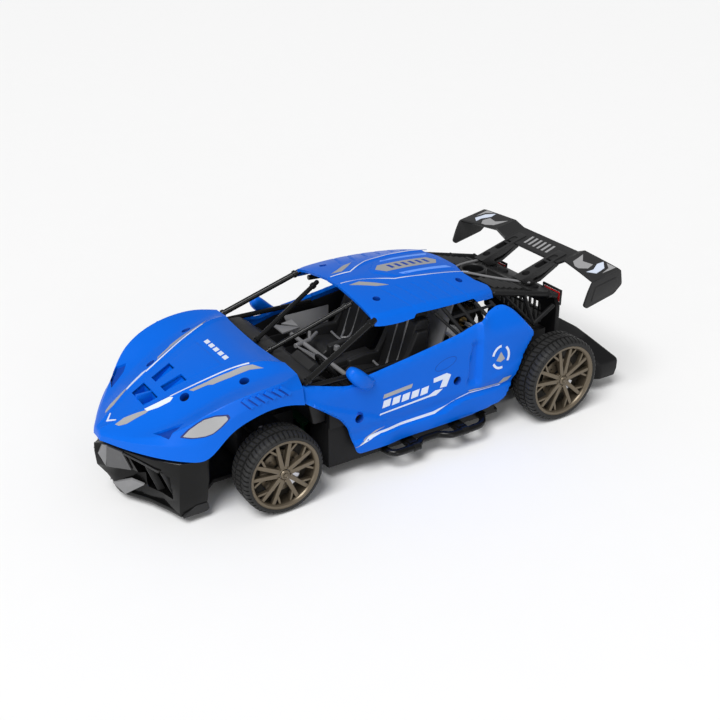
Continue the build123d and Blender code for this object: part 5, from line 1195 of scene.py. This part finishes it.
# ---------------------------------------------------------------- steps, cage
def steps():
    rail = [(13.6, 46.6, 10.5), (13.2, 51.4, 10.5), (11.2, 53.9, 10.5), (8.6, 54.5, 10.5), (0.6, 54.5, 10.5),
            (-2.6, 53.8, 10.5), (-6.2, 50.9, 10.5), (-9.0, 50.4, 10.5), (-14.6, 50.4, 10.5), (-17.6, 50.9, 10.5),
            (-22.0, 54.2, 10.5), (-26.0, 54.9, 10.5), (-39.0, 54.9, 10.5), (-43.4, 53.0, 10.5), (-46.0, 50.2, 10.5),
            (-48.2, 46.6, 10.5)]
    parts = [tube(rail, 1.8, sides=18, smooth_steps=3)]
    for x0, x1 in ((-4.4, 2.4), (-34.4, -27.6)):
        parts.append(box(x0, x1, 45.2, 53.6, 9.3, 11.4, bevel=0.5))
        parts.append(box(x0 + 1.2, x1 - 1.2, 45.2, 52.4, 11.2, 12.2, bevel=0.35))
        parts.append(rod(((x0 + x1) / 2 - 2.1, 54.6, 10.5), ((x0 + x1) / 2 + 2.1, 54.6, 10.5), 2.2))
    parts += [box(11, 15, 45.2, 48.2, 8.9, 12.0, bevel=0.5), box(-50.2, -46, 45.2, 48.2, 8.9, 12.0, bevel=0.5)]
    parts += [rod((x, 44.6, 10.5), (x, 46.6, 10.5), 2.3) for x in (13.4, -48.2)]
    left = joined(parts)
    piece("side_step_left_look", "chassis", [("gloss", left)], ["side_step_left"])
    piece("side_step_right_look", "chassis", [("gloss", other_side(left))], ["side_step_right"])


def cage():
    pillar = [(57.0, 45.0, 57.6), (11.6, 36.3, 76.4)]
    screen = [(56.4, 6.3, 57.6), (12.6, 16.6, 77.6)]
    tubes = [
        tube(pillar, 1.5), tube(screen, 1.2), rod((9.6, 32.4, 73.2), (-57, 29.4, 70.2), 1.4),
        tube([(-55, 37.6, 32.0), (-52.4, 36.4, 62.0), (-50, 33.0, 69.8)], 1.5),
        rod((54.4, 44.2, 55.0), (2, 43.6, 53.8), 1.3),
    ]
    collars = []
    for a, b, r in ((*pillar, 2.0), (*screen, 1.7)):
        way = (Vector(b) - Vector(a)).normalized()
        for spot in (Vector(a) + way * 3, Vector(b) - way * 4):
            collars.append(rod(spot - way, spot + way, r))
    single = [rod((59.6, -43, 56.0), (59.6, 43, 56.0), 1.4), rod((-50, -31, 67.2), (-50, 31, 67.2), 1.4)]
    meshes = on_both_sides(tubes + collars) + single
    piece("roll_cage_look", "chassis", [("gloss", joined(meshes))], ["roll_cage"])
    tops = [(-26.3, 38.0, 74.2), (-36.2, 38.0, 73.6), (-46.8, 37.8, 72.0), (-57.6, 37.0, 69.4)]
    feet = [(-34.6, 45.0, 61.4), (-42.6, 45.0, 62.6), (-50.4, 44.8, 65.3), (-56.9, 44.0, 67.6)]
    bars = [rod(a, b, 1.0, sides=12) for a, b in zip(tops, feet)]
    bars += [tube(feet, 0.9, sides=12), rod((-30.8, 41.3, 68.6), (-55.6, 41.0, 69.4), 0.8, sides=12),
             rod((-21.4, 38.4, 72.6), (-31.6, 45.2, 60.6), 0.8, sides=12)]
    piece("window_nets_look", "chassis", [("black", joined(on_both_sides(bars)))], ["window_nets"])


# ---------------------------------------------------------------- cockpit
def cockpit():
    seat = prism([(-13, 31.6), (12.6, 31.6), (14.2, 38.6), (11.6, 40.4), (-6.4, 37.4), (-15.6, 65), (-18.2, 66.6),
                  (-23.4, 66.2), (-24.2, 63.4), (-20, 44)], "y", 10.5, 31.5, bevel=1.4, segments=3)
    bolster = prism([(-15, 35), (10.5, 36), (11.5, 43.2), (2.0, 44.4), (-6.0, 44.0), (-10.6, 52.0), (-15.0, 61.5),
                     (-21.8, 61.0), (-20.0, 45.0)], "y", 8.0, 11.6, bevel=1.2, segments=3)
    outer = moved(bolster.copy(), Matrix.Translation((0, 22.4, 0)))
    head = prism(rounded([(-18.4, 65.4), (-18.8, 71.6), (-23.8, 72.0), (-25.4, 65.0)], 1.5, 4), "y", 14.5, 27.5,
                 bevel=1.0, segments=3)
    belts = [tube([(-15.9, y, 66.0), (-8.4, y + 0.4, 42.4), (-3.6, 21, 39.3)], 0.65, sides=8,
                  smooth_steps=4) for y in (17.4, 24.6)]
    belts.append(tube([(-2.4, 12.4, 40.0), (-1.8, 21, 39.6), (-2.4, 29.6, 40.0)], 0.65, sides=8, smooth_steps=4))
    seats = on_both_sides((seat, bolster, outer, head))
    piece("seats_look", "chassis", [("charcoal", joined(seats)), ("grey", joined(on_both_sides(belts)))], ["seats"])
    tray = [
        box(-57, 35, -42.4, 42.4, 30.0, 31.4, bevel=0.3), box(-57, 30, 41.0, 42.4, 31.2, 40, bevel=0.4),
        box(-57, 30, -42.4, -41.0, 31.2, 40, bevel=0.4), box(-57, 20, -5, 5, 31.2, 37, bevel=0.8),
    ]
    ribs = [box(x, x + 1.6, y - 10, y + 10, 31.2, 32.2, bevel=0.3)
            for x in [15 + 3.2 * k for k in range(5)] for y in (21, -21)]
    panels = []
    for side in (list, flip):
        panels.append(plate(side([(-26, 9, 46), (-26, 36, 46), (-36, 34, 72), (-34, 9, 72)]), 1.2))
        panels.append(plate(side([(28, 6, 33.5), (28, 38, 33.5), (35, 38, 42), (35, 6, 42)]), 1.0))
        panels.append(plate(side([(-6, 38.6, 38), (16, 38.6, 38), (20, 41.4, 50), (-8, 41.4, 50)]), 1.0))
    card = [(44, 44.5), (34, 47.0), (24, 49.4), (-23, 55.6), (-41, 59.6), (-54, 62.6), (-56, 30), (44, 30)]
    tray += both(prism(card, "y", 45.3, 46.2, bevel=0.2))
    for corners, core in (
        ([(24.1, -37.0, 47.6), (17.6, -37.2, 48.4), (17.7, -29.8, 47.4)], (20, -30, 30)),
        ([(29.9, -36.4, 48.6), (17.6, -28.6, 47.0), (30.5, -23.5, 49.0)], (20, -30, 30)),
        ([(31.6, -6.6, 48.8), (26.2, 8.2, 47.2), (30.4, 13.9, 48.4)], (28, 0, 30)),
    ):
        panels.append(plate(corners, 1.0, core=core))
    fork = (19.0, -15.6, 46.0)
    panels += [rod((30.0, -11.0, 47.2), fork, 1.3), rod(fork, (10.4, -23.1, 45.0), 1.0),
               rod(fork, (15.3, -22.0, 47.0), 0.9), rod((24.0, -36, 46.4), (24.0, 36, 46.4), 1.2)]
    lever = rod((14, 0, 37), (12, 0, 45), 0.8)
    knob = rod((12, 0, 44.6), (11.6, 0, 47.2), 1.6)
    console = prism([(-10, 36.8), (19, 36.8), (17, 39.4), (-8, 40.2)], "y", -4, 4, bevel=0.6)
    piece("cockpit_tray_look", "chassis", [("black", joined(tray)), ("charcoal", joined(ribs)),
                                           ("grey", joined(panels)),
                                           ("charcoal", console), ("grey", joined([lever, knob]))], ["cockpit_tray"])
    dash = prism(rounded([(50, 32), (54.6, 55.6), (53.0, 57.0), (46.4, 56.4), (40.4, 51.4), (36.4, 46.6), (36, 32)],
                         1.6, 4), "y",
                 -41, 41, bevel=0.8, segments=3)
    hood_pod = prism(rounded([(46, 55.5), (41.6, 58.0), (36.6, 52.8), (40.4, 50.6)], 1.0, 3), "y", 12, 30, bevel=0.6)
    vents = [box(38.6, 40.6, y - 3.2, y + 3.2, 48.0, 50.4, bevel=0.4) for y in (-33, -8, 8, 36)]
    face_driver = Matrix.Rotation(math.radians(90), 4, "Z") @ Matrix.Rotation(math.radians(45), 4, "X")
    dial = [(0.01, -0.4), (2.6, -0.4), (3.0, 0), (2.6, 0.4), (0.01, 0.3)]
    dials = [moved(turned(dial, (0, 0), 32), Matrix.Translation((38.0, y, 52.2)) @ face_driver) for y in (17, 25)]
    tilt = math.radians(62)
    wheel_at = Vector((30.5, 21, 49.0))
    up, aside = Vector((math.cos(tilt), 0, math.sin(tilt))), Vector((0, 1, 0))
    hoop = [wheel_at + up * 7.2 * math.cos(a) + aside * 7.6 * math.sin(a) for a in angles(36)]
    steering = [tube([tuple(p) for p in hoop], 0.95, sides=10, closed=True)]
    for a in (0.5 * PI, 1.5 * PI, PI):
        steering.append(rod(wheel_at, wheel_at + up * 7.0 * math.cos(a) + aside * 7.4 * math.sin(a), 0.8))
    along = up.cross(aside)
    steering.append(rod(wheel_at - along * 1.0, wheel_at + along * 1.0, 2.2))
    column = rod(wheel_at, (39.5, 21, 44.0), 1.1)
    piece("dashboard_look", "chassis", [("charcoal", dash), ("charcoal", hood_pod), ("black", joined(vents)),
                                        ("silver", joined(dials)),
                                        ("black", joined(steering + [column]))], ["dashboard"])


# ---------------------------------------------------------------- running gear
def chassis():
    """Softened copies of the frame pieces that can be seen."""
    for node in ("chassis_tub", "front_axle_frame", "front_upper_arm", "gearbox_case", "gearbox_cover", "axle_carriers",
                 "battery_cover", "circuit_board", "steering_servo"):
        finish = "board" if node == "circuit_board" else "black"
        restyled(node, "chassis", finish, bevel=0.3)
    for side in ("left", "right"):
        restyled(f"knuckle_{side}", f"hub_{side}", "black", bevel=0.3)


# ---------------------------------------------------------------- finish
def dress_frame():
    """Give every CAD node that still shows its finish."""
    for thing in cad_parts.values():
        for holder in thing.material_slots:
            name = holder.material.name if holder.material else ""
            for key, finish in SLOT.items():
                if name.startswith(key):
                    holder.material = MAT[finish]


SKY_LIGHT = 0.36
SUN_LIGHT, SUN_SPREAD = 2.75, 0.55
FLOOR_REACH = 9000
LENS, SENSOR = 54.24, 36.0
CAMERA_AT, CAMERA_BACK = (0.2700, 0.4306, 0.29255), (0.4771, 0.7543, 0.4510)
LAMPS_AIM = (0, 0, 0.03)


def studio():
    """Pale floor, soft lights and the camera at the photo's angle."""
    scene = bpy.context.scene
    scene.view_settings.view_transform = "Standard"
    world = bpy.data.worlds.new("studio")
    world.use_nodes = True
    sky = world.node_tree.nodes["Background"]
    sky.inputs["Color"].default_value = (1, 1, 1, 1)
    sky.inputs["Strength"].default_value = SKY_LIGHT
    scene.world = world
    corners = [(x * FLOOR_REACH, y * FLOOR_REACH, 0) for x, y in ((-1, -1), (1, -1), (1, 1), (-1, 1))]
    floor = from_lists(corners, [(0, 1, 2, 3)])
    floor.transform(Matrix.Scale(MM, 4))
    ground = bpy.data.objects.new("floor", floor)
    scene.collection.objects.link(ground)
    floor.materials.append(plastic("floor_paper", (0.87, 0.87, 0.87), 0.9, mottle=0.004))
    sun = bpy.data.lights.new("sky_panel", "SUN")
    sun.energy, sun.angle = SUN_LIGHT, SUN_SPREAD
    lamps = [("sky_panel", sun, (0.55, 0.35, 1.0))]
    for name, place, size, power in (("left", (0.15, 1.0, 0.2), 0.5, 1.6), ("front", (1.1, 0.25, 0.15), 0.5, 1.8)):
        data = bpy.data.lights.new(name, "AREA")
        data.shape, data.size, data.energy = "DISK", size, power
        lamps.append((name, data, place))
    for name, data, place in lamps:
        lamp = bpy.data.objects.new(name, data)
        lamp.location = place
        lamp.rotation_euler = (Vector(LAMPS_AIM) - Vector(place)).to_track_quat("-Z", "Y").to_euler()
        scene.collection.objects.link(lamp)
    data = bpy.data.cameras.new("camera")
    data.lens, data.sensor_width = LENS, SENSOR
    camera = bpy.data.objects.new("camera", data)
    back = Vector(CAMERA_BACK).normalized()
    right = Vector((0, 0, 1)).cross(back).normalized()
    camera.matrix_world = Matrix((right, back.cross(right), back)).transposed().to_4x4()
    camera.location = CAMERA_AT
    scene.collection.objects.link(camera)
    scene.camera = camera


hood()
for sign, name in ((1, "left"), (-1, "right")):
    side_panel(sign, name)
roof()
wheels()
door_mirrors()
front_bumper()
rear_bumper()
tail()
wing()
steps()
cage()
cockpit()
chassis()
piece("body_screws_look", "chassis", [("black", joined(SCREWS))], ["body_screws"])
dress_frame()
studio()
